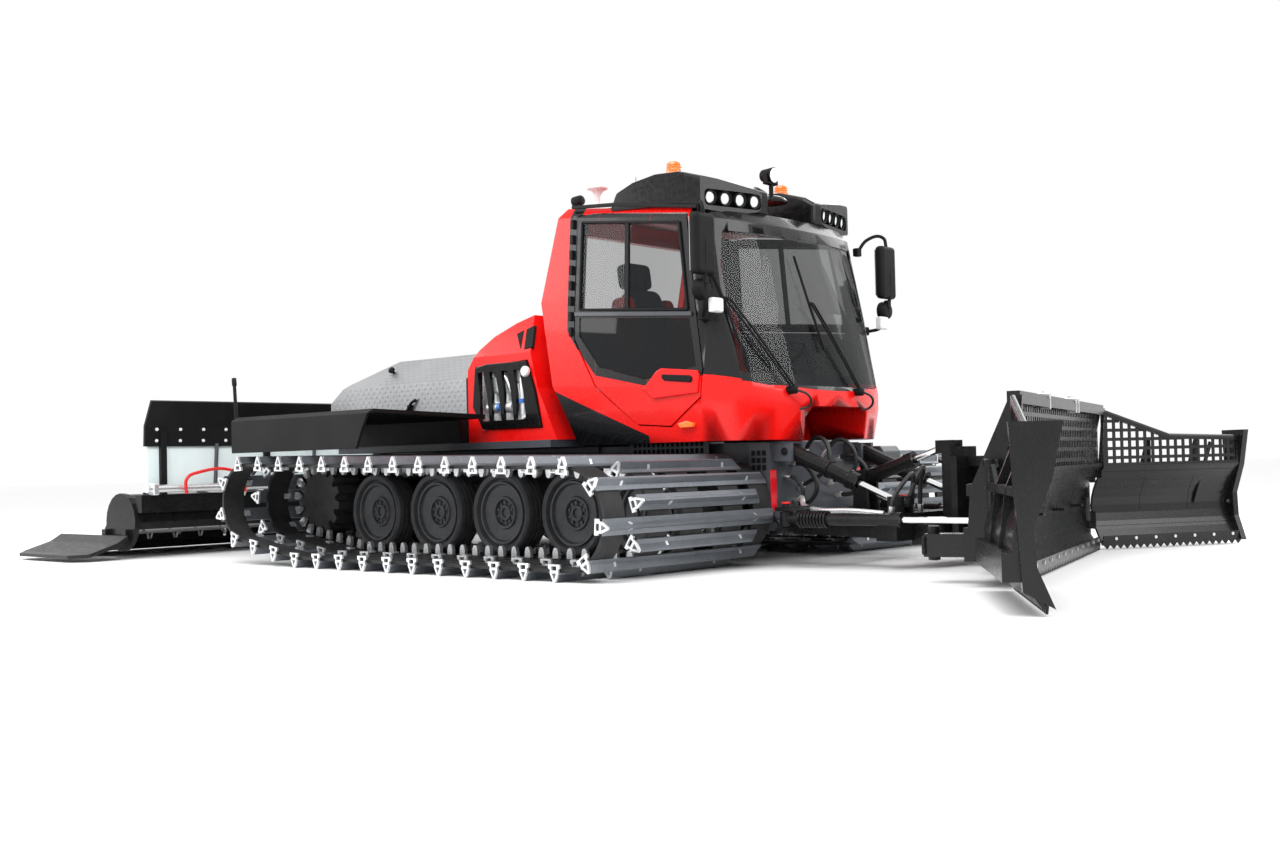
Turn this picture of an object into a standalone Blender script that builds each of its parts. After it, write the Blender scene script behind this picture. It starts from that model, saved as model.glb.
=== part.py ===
"""Snowcat groomer: a tracked tractor with a tilting cab, a front blade with two wings, and a rear tiller.

Metres, +X forward, +Y to the machine's left, +Z up. The origin is on the ground under the middle of the machine.
Each object is one closed body. Names are the pieces' own names.
"""

import math

import bmesh
import bpy
from mathutils import Matrix, Vector

# Driving dimensions, in metres.
GAP = 0.0005  # between pieces that touch
TRACK_INSIDE = 0.52  # from the middle plane to a track's inner edge
TRACK_OUTSIDE = 2.10
TRACK_MIDDLE = (TRACK_INSIDE + TRACK_OUTSIDE) / 2
WHEEL_RADIUS = 0.28
WHEEL_WIDTH = 0.20
WHEEL_X = (-1.09, -0.43, 0.23, 0.89, 1.50)
BELT = 0.020
BAR_HEIGHT = 0.055
WHEEL_Z = WHEEL_RADIUS + BELT + BAR_HEIGHT
SPROCKET_X = -1.75
SPROCKET_Z = 0.44
SPROCKET_RADIUS = 0.26
BAR_PITCH = 0.1245  # along the belt

TUB_HALF = 0.45
TUB_LOW = 0.345
TUB_TOP = 0.78
TUB_REAR = -2.25
TUB_FRONT = 1.72

CAB_WALL = 0.05
CAB_AXIS = (0.90, 0.90)  # y and z of the tilt hinge on the left
DOOR_HINGE_Y = 0.93  # just outside the cab's side
DECK_FLOOR = 0.835
DECK_TOP = 1.02
DECK_HALF = 1.00

LIFT_PIVOT = (1.87, 0.26)  # x and z of the push arms' hinges
ARM_Y = 0.44
LIFT_EYE = (1.87, 0.715)  # x and z of the lift cylinders' upper hinges
LIFT_ROD_EYE = (2.66, 0.385)
CYLINDER_Y = 0.40
PITCH_PIVOT = (2.80, 0.20)
TOP_LINK_EYE = (2.16, 0.53)
TOP_LINK_ROD_EYE = (2.74, 0.72)
ROLL_CENTRE = (2.93, 0.40)
YAW_X = 3.05  # the blade's upright pivot
ANGLE_EYE = (2.02, 0.68, 0.30)  # x, y and z of an angle cylinder's rear hinge
ANGLE_ARM = (0.085, 0.62)  # from the upright pivot to the blade's lug, in the blade's own directions

BLADE_YAW = math.radians(15.5)  # the right end is forward
BLADE_HALF = 1.41
WING_AXIS = 1.47
WING_REACH = 1.20
WING_RIGHT_SWING = math.radians(18.0)
WING_LEFT_SWING = math.radians(46.0)
EDGE_FORWARD = 0.40  # from the upright pivot to the cutting edge
EDGE_LOW = 0.03
MOULD_TOP = 0.57
MESH_TOP = 0.98

TILLER_LIFT = (-2.36, 0.56)  # x and z of the tiller's lift hinge
TILLER_EYE = (-2.36, 0.90)
TILLER_ROD_EYE = (-2.83, 0.70)
SWING_X = -2.98
TILLER_HALF = 2.10
SHAFT = (-3.42, 0.285)  # x and z
SHAFT_RADIUS = 0.10
SPIKE_RADIUS = 0.155
HOOD_RADIUS = 0.22
ROLL_TILLER = (-3.12, 0.42)
FLAP_HINGE = (2.16, 0.20)  # y and z of a side flap's hinge
FLAP_REACH = 0.44

RED = (0.72, 0.012, 0.015)
GLOSS_BLACK = (0.012, 0.012, 0.014)
SATIN_BLACK = (0.022, 0.023, 0.026)
PANEL_GREY = (0.075, 0.085, 0.105)
STEEL = (0.55, 0.57, 0.60)
ALUMINIUM = (0.72, 0.73, 0.75)
RUBBER = (0.020, 0.020, 0.022)
GLASS = (0.05, 0.06, 0.07)
CLEAR = (0.70, 0.85, 0.88)
CLOTH = (0.03, 0.03, 0.035)


# ---------------------------------------------------------------- helpers

def clear_scene():
    for obj in list(bpy.data.objects):
        bpy.data.objects.remove(obj, do_unlink=True)


def make_collection(name):
    collection = bpy.data.collections.new(name)
    bpy.context.scene.collection.children.link(collection)
    return collection


def make_material(name, colour, roughness, metallic=0.0):
    material = bpy.data.materials.new(name)
    material.use_nodes = True
    shader = material.node_tree.nodes["Principled BSDF"]
    shader.inputs["Base Color"].default_value = (*colour, 1.0)
    shader.inputs["Roughness"].default_value = roughness
    shader.inputs["Metallic"].default_value = metallic
    return material


def mesh_object(name, mesh):
    obj = bpy.data.objects.new(name, mesh)
    PARTS.objects.link(obj)
    return obj


def box(low, high, name="piece"):
    """A box between two opposite corners."""
    mesh = bpy.data.meshes.new(name)
    shape = bmesh.new()
    bmesh.ops.create_cube(shape, size=1.0)
    size = [high[i] - low[i] for i in range(3)]
    middle = [(high[i] + low[i]) / 2 for i in range(3)]
    bmesh.ops.scale(shape, vec=size, verts=shape.verts)
    bmesh.ops.translate(shape, vec=middle, verts=shape.verts)
    shape.to_mesh(mesh)
    shape.free()
    return mesh_object(name, mesh)


def rod(start, end, radius, sides=16, name="piece", end_radius=None):
    """A round bar or cone between two points."""
    start, end = Vector(start), Vector(end)
    along = end - start
    mesh = bpy.data.meshes.new(name)
    shape = bmesh.new()
    far = radius if end_radius is None else end_radius
    bmesh.ops.create_cone(
        shape, cap_ends=True, segments=sides, radius1=radius, radius2=far, depth=along.length)
    turn = Vector((0, 0, 1)).rotation_difference(along.normalized()).to_matrix().to_4x4()
    bmesh.ops.transform(shape, matrix=Matrix.Translation((start + end) / 2) @ turn, verts=shape.verts)
    shape.to_mesh(mesh)
    shape.free()
    return mesh_object(name, mesh)


def flat_outline(points, low, high, plane, name="piece", hole=None):
    """A filled outline, with a hole if one is given, extruded from low to high along the axis that the plane lacks."""
    curve = bpy.data.curves.new(name, "CURVE")
    curve.dimensions = "2D"
    curve.fill_mode = "BOTH"
    curve.extrude = (high - low) / 2
    for ring in (points, hole):
        if ring:
            line = curve.splines.new("POLY")
            line.points.add(len(ring) - 1)
            for point, (a, b) in zip(line.points, ring):
                point.co = (a, b, 0, 1)
            line.use_cyclic_u = True
    guide = bpy.data.objects.new(name, curve)
    PARTS.objects.link(guide)
    middle = (high + low) / 2
    if plane == "XZ":
        guide.matrix_world = Matrix.Translation((0, middle, 0)) @ Matrix.Rotation(math.pi / 2, 4, "X")
    elif plane == "YZ":
        turn = Matrix(((0, 0, 1, 0), (1, 0, 0, 0), (0, 1, 0, 0), (0, 0, 0, 1)))
        guide.matrix_world = Matrix.Translation((middle, 0, 0)) @ turn
    else:
        guide.matrix_world = Matrix.Translation((0, 0, middle))
    return solid_from_curve(guide)


def tube(points, radius, name="piece", resolution=2):
    """A round tube along straight runs between points."""
    curve = bpy.data.curves.new(name, "CURVE")
    curve.dimensions = "3D"
    curve.bevel_depth = radius
    curve.bevel_resolution = resolution
    curve.use_fill_caps = True
    line = curve.splines.new("POLY")
    line.points.add(len(points) - 1)
    for point, place in zip(line.points, points):
        point.co = (*place, 1)
    guide = bpy.data.objects.new(name, curve)
    PARTS.objects.link(guide)
    return solid_from_curve(guide)


def solid_from_curve(guide):
    """The curve's solid as a mesh object, with its caps welded to its sides."""
    bpy.context.view_layer.update()
    graph = bpy.context.evaluated_depsgraph_get()
    mesh = bpy.data.meshes.new_from_object(guide.evaluated_get(graph))
    shape = bmesh.new()
    shape.from_mesh(mesh)
    bmesh.ops.remove_doubles(shape, verts=shape.verts, dist=0.00002)
    bmesh.ops.recalc_face_normals(shape, faces=shape.faces)
    shape.to_mesh(mesh)
    shape.free()
    obj = mesh_object(guide.name, mesh)
    place = guide.matrix_world.copy()
    bpy.data.objects.remove(guide, do_unlink=True)
    bake(obj, place)
    return obj


def bake(obj, matrix):
    """Moves the object's mesh, so that its own frame stays the world's."""
    obj.data.transform(matrix)
    obj.data.update()
    return obj


def turned(profile, centre, direction, steps=24, name="piece"):
    """A turned solid: profile points are (radius, distance along the axis), from the far end down."""
    mesh = bpy.data.meshes.new(name)
    points = [(radius, 0.0, height) for radius, height in profile]
    mesh.from_pydata(points, [(i, i + 1) for i in range(len(points) - 1)], [])
    obj = mesh_object(name, mesh)
    screw = obj.modifiers.new("turn", "SCREW")
    screw.steps = steps
    screw.render_steps = steps
    screw.use_merge_vertices = True
    screw.merge_threshold = 0.0001
    apply_modifiers(obj)
    turn = Vector((0, 0, 1)).rotation_difference(Vector(direction)).to_matrix().to_4x4()
    return bake(obj, Matrix.Translation(centre) @ turn)


def apply_modifiers(obj):
    bpy.context.view_layer.update()
    graph = bpy.context.evaluated_depsgraph_get()
    mesh = bpy.data.meshes.new_from_object(obj.evaluated_get(graph))
    obj.modifiers.clear()
    obj.data = mesh
    return obj


def combine(base, others, operation):
    """Boolean of the base with each of the others, which are used up."""
    for other in others:
        step = base.modifiers.new("cut", "BOOLEAN")
        step.operation = operation
        step.object = other
        step.solver = "EXACT"
    apply_modifiers(base)
    for other in others:
        bpy.data.objects.remove(other, do_unlink=True)
    shape = bmesh.new()
    shape.from_mesh(base.data)
    bmesh.ops.remove_doubles(shape, verts=shape.verts, dist=0.00002)
    bmesh.ops.dissolve_degenerate(shape, edges=shape.edges, dist=0.00001)
    flat = math.radians(0.3)
    bmesh.ops.dissolve_limit(shape, angle_limit=flat, verts=shape.verts, edges=shape.edges)
    shape.to_mesh(base.data)
    shape.free()
    return base


def join(base, *others):
    return combine(base, others, "UNION")


def cut(base, *others):
    return combine(base, others, "DIFFERENCE")


def keep(base, *others):
    return combine(base, others, "INTERSECT")


def copy_of(obj):
    twin = bpy.data.objects.new(obj.name, obj.data.copy())
    PARTS.objects.link(twin)
    return twin


def mirrored(obj, name):
    """The same piece on the other side of the middle plane."""
    twin = copy_of(obj)
    twin.data.transform(Matrix.Scale(-1, 4, (0, 1, 0)))
    twin.data.flip_normals()
    return name_piece(twin, name, obj.data.materials[0])


def name_piece(obj, name, material, origin=None):
    """Names a finished piece, gives it its material and puts its origin on its joint's axis."""
    obj.name = name
    obj.data.name = name
    obj.data.materials.clear()
    obj.data.materials.append(material)
    obj.data.shade_smooth()
    obj.data.set_sharp_from_angle(angle=math.radians(35))
    if origin is not None:
        obj.data.transform(Matrix.Translation(-Vector(origin)))
        obj.location = origin
    return obj


def arc(centre, radius, start, end, steps):
    """Points on an arc, angles in degrees."""
    points = []
    for i in range(steps + 1):
        angle = math.radians(start + (end - start) * i / steps)
        points.append((centre[0] + radius * math.cos(angle), centre[1] + radius * math.sin(angle)))
    return points


# ---------------------------------------------------------------- tracks and wheels

def loop_path(offset):
    """The belt's loop at a distance outside the wheels: arcs round the sprocket and the idler, and runs."""
    rear, front = (SPROCKET_X, SPROCKET_Z), (WHEEL_X[-1], WHEEL_Z)
    first = (WHEEL_X[0], WHEEL_Z)
    rear_radius, radius = SPROCKET_RADIUS + offset, WHEEL_RADIUS + offset

    def tangent_angle(a, radius_a, b, radius_b, side):
        along = math.atan2(b[1] - a[1], b[0] - a[0])
        distance = math.dist(a, b)
        return math.degrees(along + side * math.acos((radius_a - radius_b) / distance))

    top = tangent_angle(rear, rear_radius, front, radius, 1)
    low = tangent_angle(rear, rear_radius, first, radius, -1)
    points = arc(front, radius, top, -90, 20)
    points += arc(first, radius, -90, low, 3)
    points += arc(rear, rear_radius, low, top - 360, 20)
    return points


def walk(points):
    """Length of a closed path, and a function that gives the place and direction at a distance along it."""
    closed = points + [points[0]]
    lengths = [math.dist(a, b) for a, b in zip(closed, closed[1:])]

    def at(distance):
        for (a, b), length in zip(zip(closed, closed[1:]), lengths):
            if distance <= length and length > 0:
                share = distance / length
                place = (a[0] + (b[0] - a[0]) * share, a[1] + (b[1] - a[1]) * share)
                return place, ((b[0] - a[0]) / length, (b[1] - a[1]) / length)
            distance -= length
        return closed[0], (1, 0)

    return sum(lengths), at


def track(side):
    """A track: one closed loop of belt with its cross bars in the outline."""
    total, at = walk(loop_path(BELT))
    count = 2 * round(total / BAR_PITCH / 2)
    outline = []
    for i in range(count):
        middle = total * i / count
        for shift, height in ((-0.042, 0), (-0.022, BAR_HEIGHT), (0.022, BAR_HEIGHT), (0.042, 0)):
            place, along = at((middle + shift) % total)
            outline.append((place[0] - along[1] * height, place[1] + along[0] * height))
    low, high = sorted((side * TRACK_INSIDE, side * TRACK_OUTSIDE))
    return flat_outline(outline, low, high, "XZ", hole=loop_path(GAP))


def road_wheels(side):
    """Five wheels with a beam and stub axles that carry them."""
    inner = side * (TRACK_MIDDLE - WHEEL_WIDTH / 2)
    beam_y = sorted((side * (TUB_HALF + GAP), side * 0.60))
    beam = box((WHEEL_X[0] - 0.25, beam_y[0], 0.42), (WHEEL_X[-1] + 0.10, beam_y[1], 0.54))
    pieces = []
    half = WHEEL_WIDTH / 2
    for x in WHEEL_X:
        profile = [(0.0, half - 0.045), (0.155, half - 0.045), (0.175, half - 0.01), (0.25, half - 0.01),
                   (WHEEL_RADIUS, half - 0.04), (WHEEL_RADIUS, -half + 0.03), (0.25, -half), (0.0, -half)]
        centre = (x, side * TRACK_MIDDLE, WHEEL_Z)
        pieces.append(turned(profile, centre, (0, side, 0), 20))
        stub_end = inner + side * 0.02
        pieces.append(rod((x, side * (TUB_HALF + 0.04), WHEEL_Z), (x, stub_end, WHEEL_Z), 0.045, 10))
        arm_y = sorted((side * (TUB_HALF + 0.02), side * (TUB_HALF + 0.12)))
        pieces.append(box((x - 0.05, arm_y[0], WHEEL_Z - 0.03), (x + 0.05, arm_y[1], 0.50)))
    return join(beam, *pieces)


def sprocket_outline():
    """Teeth that stand just inside the belt."""
    outline = []
    teeth = 13
    for i in range(teeth):
        for share, radius in ((0.0, 0.20), (0.30, 0.20), (0.42, 0.252), (0.88, 0.252)):
            angle = 2 * math.pi * (i + share) / teeth
            outline.append((SPROCKET_X + radius * math.cos(angle), SPROCKET_Z + radius * math.sin(angle)))
    return outline


def drive_axle():
    """The rear drive axle with both sprockets."""
    axle = rod((SPROCKET_X, -TRACK_MIDDLE, SPROCKET_Z), (SPROCKET_X, TRACK_MIDDLE, SPROCKET_Z), 0.07, 16)
    pieces = []
    for side in (-1, 1):
        low, high = sorted((side * (TRACK_MIDDLE - 0.11), side * (TRACK_MIDDLE + 0.11)))
        pieces.append(flat_outline(sprocket_outline(), low, high, "XZ"))
        pieces.append(rod((SPROCKET_X, side * 0.47, SPROCKET_Z), (SPROCKET_X, side * 1.1, SPROCKET_Z), 0.15, 20))
    return join(axle, *pieces)


# ---------------------------------------------------------------- chassis and deck

def chassis_frame():
    tub = box((TUB_REAR, -TUB_HALF, TUB_LOW), (TUB_FRONT, TUB_HALF, TUB_TOP))
    pieces = [
        box((TUB_FRONT - 0.10, -0.515, 0.24), (TUB_FRONT + 0.06, 0.515, 0.772)),
        box((TUB_REAR + 0.15, -0.98, TUB_TOP + 0.005), (0.29, 0.98, DECK_FLOOR)),
        box((TUB_REAR + 0.20, -0.47, TUB_TOP - 0.05), (0.25, 0.47, TUB_TOP + 0.03)),
        box((TUB_REAR - 0.04, -0.50, 0.36), (TUB_REAR + 0.05, 0.50, 0.96)),
    ]
    for side in (-1, 1):
        for edge in (-0.075, 0.050):
            low, high = sorted((side * (ARM_Y + edge), side * (ARM_Y + edge + 0.025)))
            pieces.append(box((TUB_FRONT, low, LIFT_PIVOT[1] - 0.06), (LIFT_PIVOT[0] + 0.06, high, 0.34)))
            low, high = sorted((side * (CYLINDER_Y + edge), side * (CYLINDER_Y + edge + 0.025)))
            pieces.append(box((TUB_FRONT, low, LIFT_EYE[1] - 0.06), (LIFT_EYE[0] + 0.05, high, 0.765)))
        low, high = sorted((side * 0.36, side * 0.42))
        pieces.append(box((TILLER_LIFT[0] - 0.05, low, 0.48), (TUB_REAR, high, 0.64)))
    for low, high in ((-0.08, -0.055), (0.055, 0.08)):
        pieces.append(box((TILLER_EYE[0] - 0.05, low, 0.85), (TUB_REAR, high, 0.955)))
    frame = join(tub, *pieces)
    axle_hole = rod((SPROCKET_X, -1, SPROCKET_Z), (SPROCKET_X, 1, SPROCKET_Z), 0.07 + GAP, 16)
    return cut(frame, axle_hole)


def load_deck():
    """A tray: a plate with skirts all round, and a well for the engine."""
    deck = box((-2.36, -DECK_HALF, DECK_FLOOR + GAP), (-0.62, DECK_HALF, DECK_TOP))
    under = box((-2.33, -DECK_HALF + 0.03, 0.80), (-0.65, DECK_HALF - 0.03, DECK_TOP - 0.04))
    well = box((-1.95, -0.46, 0.80), (-0.75, 0.46, 1.10))
    post = box((-2.40, -0.11, 0.80), (-2.20, 0.11, DECK_TOP - 0.03))
    return cut(deck, under, well, post)


def deck_cover():
    """The ribbed hood over the engine, open below: a roof with sloping sides and a sloping rear."""
    def hood(inset, low):
        side = [(-0.63 - inset, low), (-0.63 - inset, 1.50 - inset), (-1.66, 1.50 - inset),
                (-2.05, 1.335 - inset), (-2.27 + inset, 1.19 - inset), (-2.27 + inset, low)]
        half = 0.92 - inset
        front = [(-half, low), (half, low), (half, 1.30 - inset), (0.70 - inset, 1.50 - inset),
                 (-0.70 + inset, 1.50 - inset), (-half, 1.30 - inset)]
        return keep(flat_outline(side, -1.0, 1.0, "XZ"), flat_outline(front, -2.4, -0.5, "YZ"))
    return cut(hood(0.0, DECK_TOP + 0.004), hood(0.02, 0.95))


def engine_fairing():
    """The red hood between cab and deck, open below, with an opening for a cover on each side."""
    def hood(inset, low):
        outline = [(0.295 - inset, low), (0.11 - inset, 1.20), (-0.02 - inset, 1.72 - inset), (-0.18, 1.675 - inset),
                   (-0.38, 1.59 - inset), (-0.50, 1.50 - inset), (-0.61 + inset, 1.36 - inset),
                   (-0.61 + inset, low)]
        front = [(-0.92 + inset, low), (0.92 - inset, low), (0.92 - inset, 1.45 - inset),
                 (0.80 - inset, 1.73 - inset), (-0.80 + inset, 1.73 - inset), (-0.92 + inset, 1.45 - inset)]
        return keep(flat_outline(outline, -1.0, 1.0, "XZ"), flat_outline(front, -0.7, 0.5, "YZ"))
    shell = cut(hood(0.0, DECK_FLOOR + GAP), hood(0.03, 0.75))
    return cut(shell, flat_outline(side_cover_outline(0.0), -1.0, 1.0, "XZ"))


def side_cover_outline(inset):
    """The rounded outline of the black cover in the fairing's side."""
    centre = (-0.21, 1.16)
    corners = [(-0.53, 1.38), (0.02, 1.40), (0.10, 1.18), (0.16, 0.92), (-0.45, 0.92), (-0.56, 1.10)]
    outline = []
    for x, z in corners:
        outline.append((x + math.copysign(inset, centre[0] - x), z + math.copysign(inset, centre[1] - z)))
    return outline


def side_cover():
    cover = flat_outline(side_cover_outline(0.004), -0.935, -0.885, "XZ")
    return cover


def fender():
    """A folded board from the deck's edge out over the track."""
    outer = -2.03
    section = [(-1.003, 1.00), (-1.003, 1.03), (outer + 0.05, 1.06), (outer, 1.03), (outer, 0.80),
               (outer + 0.02, 0.80), (outer + 0.02, 1.02), (outer + 0.06, 1.035)]
    board = flat_outline(section, -1.95, -0.34, "YZ")
    corner = flat_outline([(-0.52, 0.7), (-0.30, 0.7), (-0.30, 1.1), (-0.42, 0.90)], -2.2, -1.9, "XZ")
    return cut(board, corner)


# ---------------------------------------------------------------- cab

def cab_ring(z, rear, side, front, half, drop, steps=14):
    """One level of the cab: a rear edge, straight sides and a rounded front. Forward parts drop a little."""
    points = [(rear + 0.06, -half), (side, -half)]
    for i in range(1, steps):
        y = -half * math.cos(math.pi * i / steps)
        share = math.sqrt(1 - (y / half) ** 2)
        points.append((side + (front - side) * share, y))
    points += [(side, half), (rear + 0.06, half), (rear, half - 0.08), (rear, -half + 0.08)]
    return [(x, y, z - drop * (x - 0.25)) for x, y in points]


def cab_solid(inset):
    """The cab's outer form, or the same form moved in by an inset on every side."""
    levels = [(0.79, 0.40, 1.52, 1.96, 0.88, 0.0), (1.00, 0.31, 1.56, 1.98, 0.91, 0.0),
              (1.20, 0.20, 1.58, 1.96, 0.92, 0.06), (1.77, 0.08, 1.54, 1.82, 0.895, 0.09),
              (2.36, 0.22, 1.47, 1.69, 0.85, 0.12), (2.43, 0.27, 1.44, 1.64, 0.80, 0.12)]
    shape = bmesh.new()
    rings = []
    for place, (z, rear, side, front, half, drop) in enumerate(levels):
        lift = inset if place == 0 else (-inset if place >= len(levels) - 2 else 0.0)
        ring = cab_ring(z + lift, rear + inset, side - inset, front - inset, half - inset, drop)
        rings.append([shape.verts.new(point) for point in ring])
    for low, high in zip(rings, rings[1:]):
        for i in range(len(low)):
            j = (i + 1) % len(low)
            shape.faces.new((low[i], low[j], high[j], high[i]))
    shape.faces.new(list(reversed(rings[0])))
    shape.faces.new(rings[-1])
    bmesh.ops.triangulate(shape, faces=[f for f in shape.faces if len(f.verts) == 4])
    mesh = bpy.data.meshes.new("cab")
    shape.to_mesh(mesh)
    shape.free()
    return mesh_object("cab", mesh)


DOOR = [(0.46, 2.352), (0.62, 2.352), (1.43, 2.245), (1.585, 1.24), (1.565, 1.06), (1.30, 0.885), (1.02, 0.905),
        (0.66, 1.17), (0.46, 1.50)]
UPPER_WINDOW = [(0.51, 2.30), (1.37, 2.19), (1.46, 1.62), (0.51, 1.70)]
LOWER_WINDOW = [(0.51, 1.65), (1.47, 1.565), (1.525, 1.26), (1.10, 1.20), (0.70, 1.30), (0.51, 1.52)]
REAR_WINDOW = [(-0.62, 1.75), (0.62, 1.75), (0.60, 2.27), (-0.60, 2.27)]
WINDSCREEN = [(-0.77, 1.16), (-0.60, 1.13), (0.60, 1.13), (0.77, 1.16), (0.77, 1.90), (0.715, 2.12),
              (-0.715, 2.12), (-0.77, 1.90)]


def grown(outline, amount):
    """The outline with each corner moved away from its middle."""
    middle = [sum(p[i] for p in outline) / len(outline) for i in (0, 1)]
    out = []
    for x, z in outline:
        out.append((x + amount * math.copysign(1, x - middle[0]), z + amount * math.copysign(1, z - middle[1])))
    return out


def cab_shell_whole():
    """The cab's wall, closed all round but for the windows, with the arch in its nose."""
    inner = cut(cab_solid(CAB_WALL), box((1.46, -0.39, 0.7), (2.2, 0.39, 1.05)))
    arch = flat_outline([(-0.34, 0.7), (0.34, 0.7), (0.34, 0.93), (0.27, 1.0), (-0.27, 1.0), (-0.34, 0.93)],
                        1.51, 2.2, "YZ")
    shell = cut(cab_solid(0.0), inner, arch)
    return cut(shell, flat_outline(REAR_WINDOW, -0.1, 0.5, "YZ"))


def cab_door():
    """The right door: the part of the wall inside its outline, with two windows."""
    wall = cut(cab_solid(0.0), cab_solid(CAB_WALL))
    door = keep(wall, flat_outline(grown(DOOR, -0.009), -1.1, -0.80, "XZ"))
    windows = [flat_outline(UPPER_WINDOW, -1.2, -0.6, "XZ"), flat_outline(LOWER_WINDOW, -1.2, -0.6, "XZ")]
    return cut(door, *windows)


def windshield():
    wall = cut(cab_solid(0.004), cab_solid(0.016))
    return keep(wall, flat_outline(grown(WINDSCREEN, -0.004), 1.45, 2.2, "YZ"))


def roof_visor():
    """The black hood on the roof's front, with a lamp housing on each side."""
    side = [(0.72, 2.30), (0.72, 2.43), (0.85, 2.52), (1.10, 2.55), (1.38, 2.515), (1.63, 2.44), (1.70, 2.34),
            (1.68, 2.25), (1.60, 2.20), (1.20, 2.20)]
    visor = flat_outline(side, -0.84, 0.84, "XZ")
    valley = flat_outline([(-0.22, 2.6), (-0.26, 2.44), (0.26, 2.44), (0.22, 2.6)], 0.6, 1.9, "YZ")
    front = box((1.50, -0.26, 2.0), (1.9, 0.26, 2.46))
    corners = [flat_outline([(1.75, s * 0.20), (1.75, s * 0.90), (1.535, s * 0.90)], 2.0, 2.7, "XY") for s in (-1, 1)]
    return cut(visor, cab_solid(-GAP), valley, front, *corners)


def mirror():
    """The right mirror: an arm on the front pillar and a tall head."""
    arm = tube([(1.57, -0.905, 1.86), (1.62, -0.97, 1.86), (1.70, -1.04, 1.88)], 0.014)
    head = box((1.67, -1.13, 1.80), (1.74, -0.95, 2.18))
    lower = box((1.68, -1.10, 1.66), (1.73, -0.98, 1.77))
    post = rod((1.705, -1.04, 1.70), (1.705, -1.04, 1.90), 0.012, 10)
    foot = box((1.535, -0.93, 1.81), (1.60, -0.85, 1.91))
    return cut(join(arm, head, lower, post, foot), cab_solid(-GAP))


def searchlight():
    base = rod((1.47, 0, 2.46), (1.47, 0, 2.50), 0.085, 20)
    neck = rod((1.47, 0, 2.49), (1.47, 0, 2.56), 0.02, 10)
    lamp = rod((1.40, 0, 2.60), (1.51, 0, 2.60), 0.055, 18)
    return join(base, neck, lamp)


def seat(y):
    """A seat with a back, a headrest and a pedestal."""
    cushion = box((0.62, y - 0.25, 1.13), (1.10, y + 0.25, 1.27))
    back = flat_outline([(0.60, 1.20), (0.74, 1.20), (0.64, 1.86), (0.52, 1.86)], y - 0.24, y + 0.24, "XZ")
    head = box((0.50, y - 0.13, 1.89), (0.60, y + 0.13, 2.06))
    stem = box((0.545, y - 0.05, 1.80), (0.575, y + 0.05, 1.93))
    pedestal = box((0.68, y - 0.16, 0.8405), (1.02, y + 0.16, 1.15))
    return join(cushion, back, head, stem, pedestal)


def dashboard():
    outline = [(1.34, 0.8405), (1.44, 0.8405), (1.44, 1.07), (1.77, 1.07), (1.76, 1.10), (1.50, 1.24), (1.34, 1.22)]
    desk = flat_outline(outline, -0.62, 0.62, "XZ")
    column = rod((1.42, 0.36, 1.15), (1.285, 0.36, 1.36), 0.035, 12)
    return join(desk, column)


def steering_wheel():
    middle = Vector((1.270, 0.36, 1.385))
    direction = Vector((-0.54, 0, 0.84)).normalized()
    mesh = bpy.data.meshes.new("rim")
    hub = rod(middle - direction * 0.008, middle + direction * 0.02, 0.035, 12)
    spoke_line = direction.cross(Vector((0, 1, 0)))
    ends = []
    steps = 20
    for i in range(steps):
        angle = 2 * math.pi * i / steps
        ends.append(middle + 0.17 * (math.cos(angle) * Vector((0, 1, 0)) + math.sin(angle) * spoke_line))
    rim_obj = ring_tube(ends, 0.013, direction)
    spokes = [rod(middle, middle + 0.165 * Vector((0, s, 0)), 0.012, 8) for s in (-1, 1)]
    bpy.data.meshes.remove(mesh)
    return join(hub, rim_obj, *spokes)


def ring_tube(points, radius, normal):
    """A closed ring of round section through points that lie in one plane."""
    middle = sum(points, Vector()) / len(points)
    shape = bmesh.new()
    sides = 8
    rings = []
    for point in points:
        outward = (point - middle).normalized()
        ring = []
        for j in range(sides):
            angle = 2 * math.pi * j / sides
            ring.append(shape.verts.new(point + radius * (math.cos(angle) * outward + math.sin(angle) * normal)))
        rings.append(ring)
    for i in range(len(rings)):
        a, b = rings[i], rings[(i + 1) % len(rings)]
        for j in range(sides):
            shape.faces.new((a[j], b[j], b[(j + 1) % sides], a[(j + 1) % sides]))
    bmesh.ops.recalc_face_normals(shape, faces=shape.faces)
    mesh = bpy.data.meshes.new("ring")
    shape.to_mesh(mesh)
    shape.free()
    return mesh_object("ring", mesh)


# ---------------------------------------------------------------- front blade

def across(x, z, low, high, radius, sides=16):
    """A round bar along Y."""
    return rod((x, low, z), (x, high, z), radius, sides)


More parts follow.
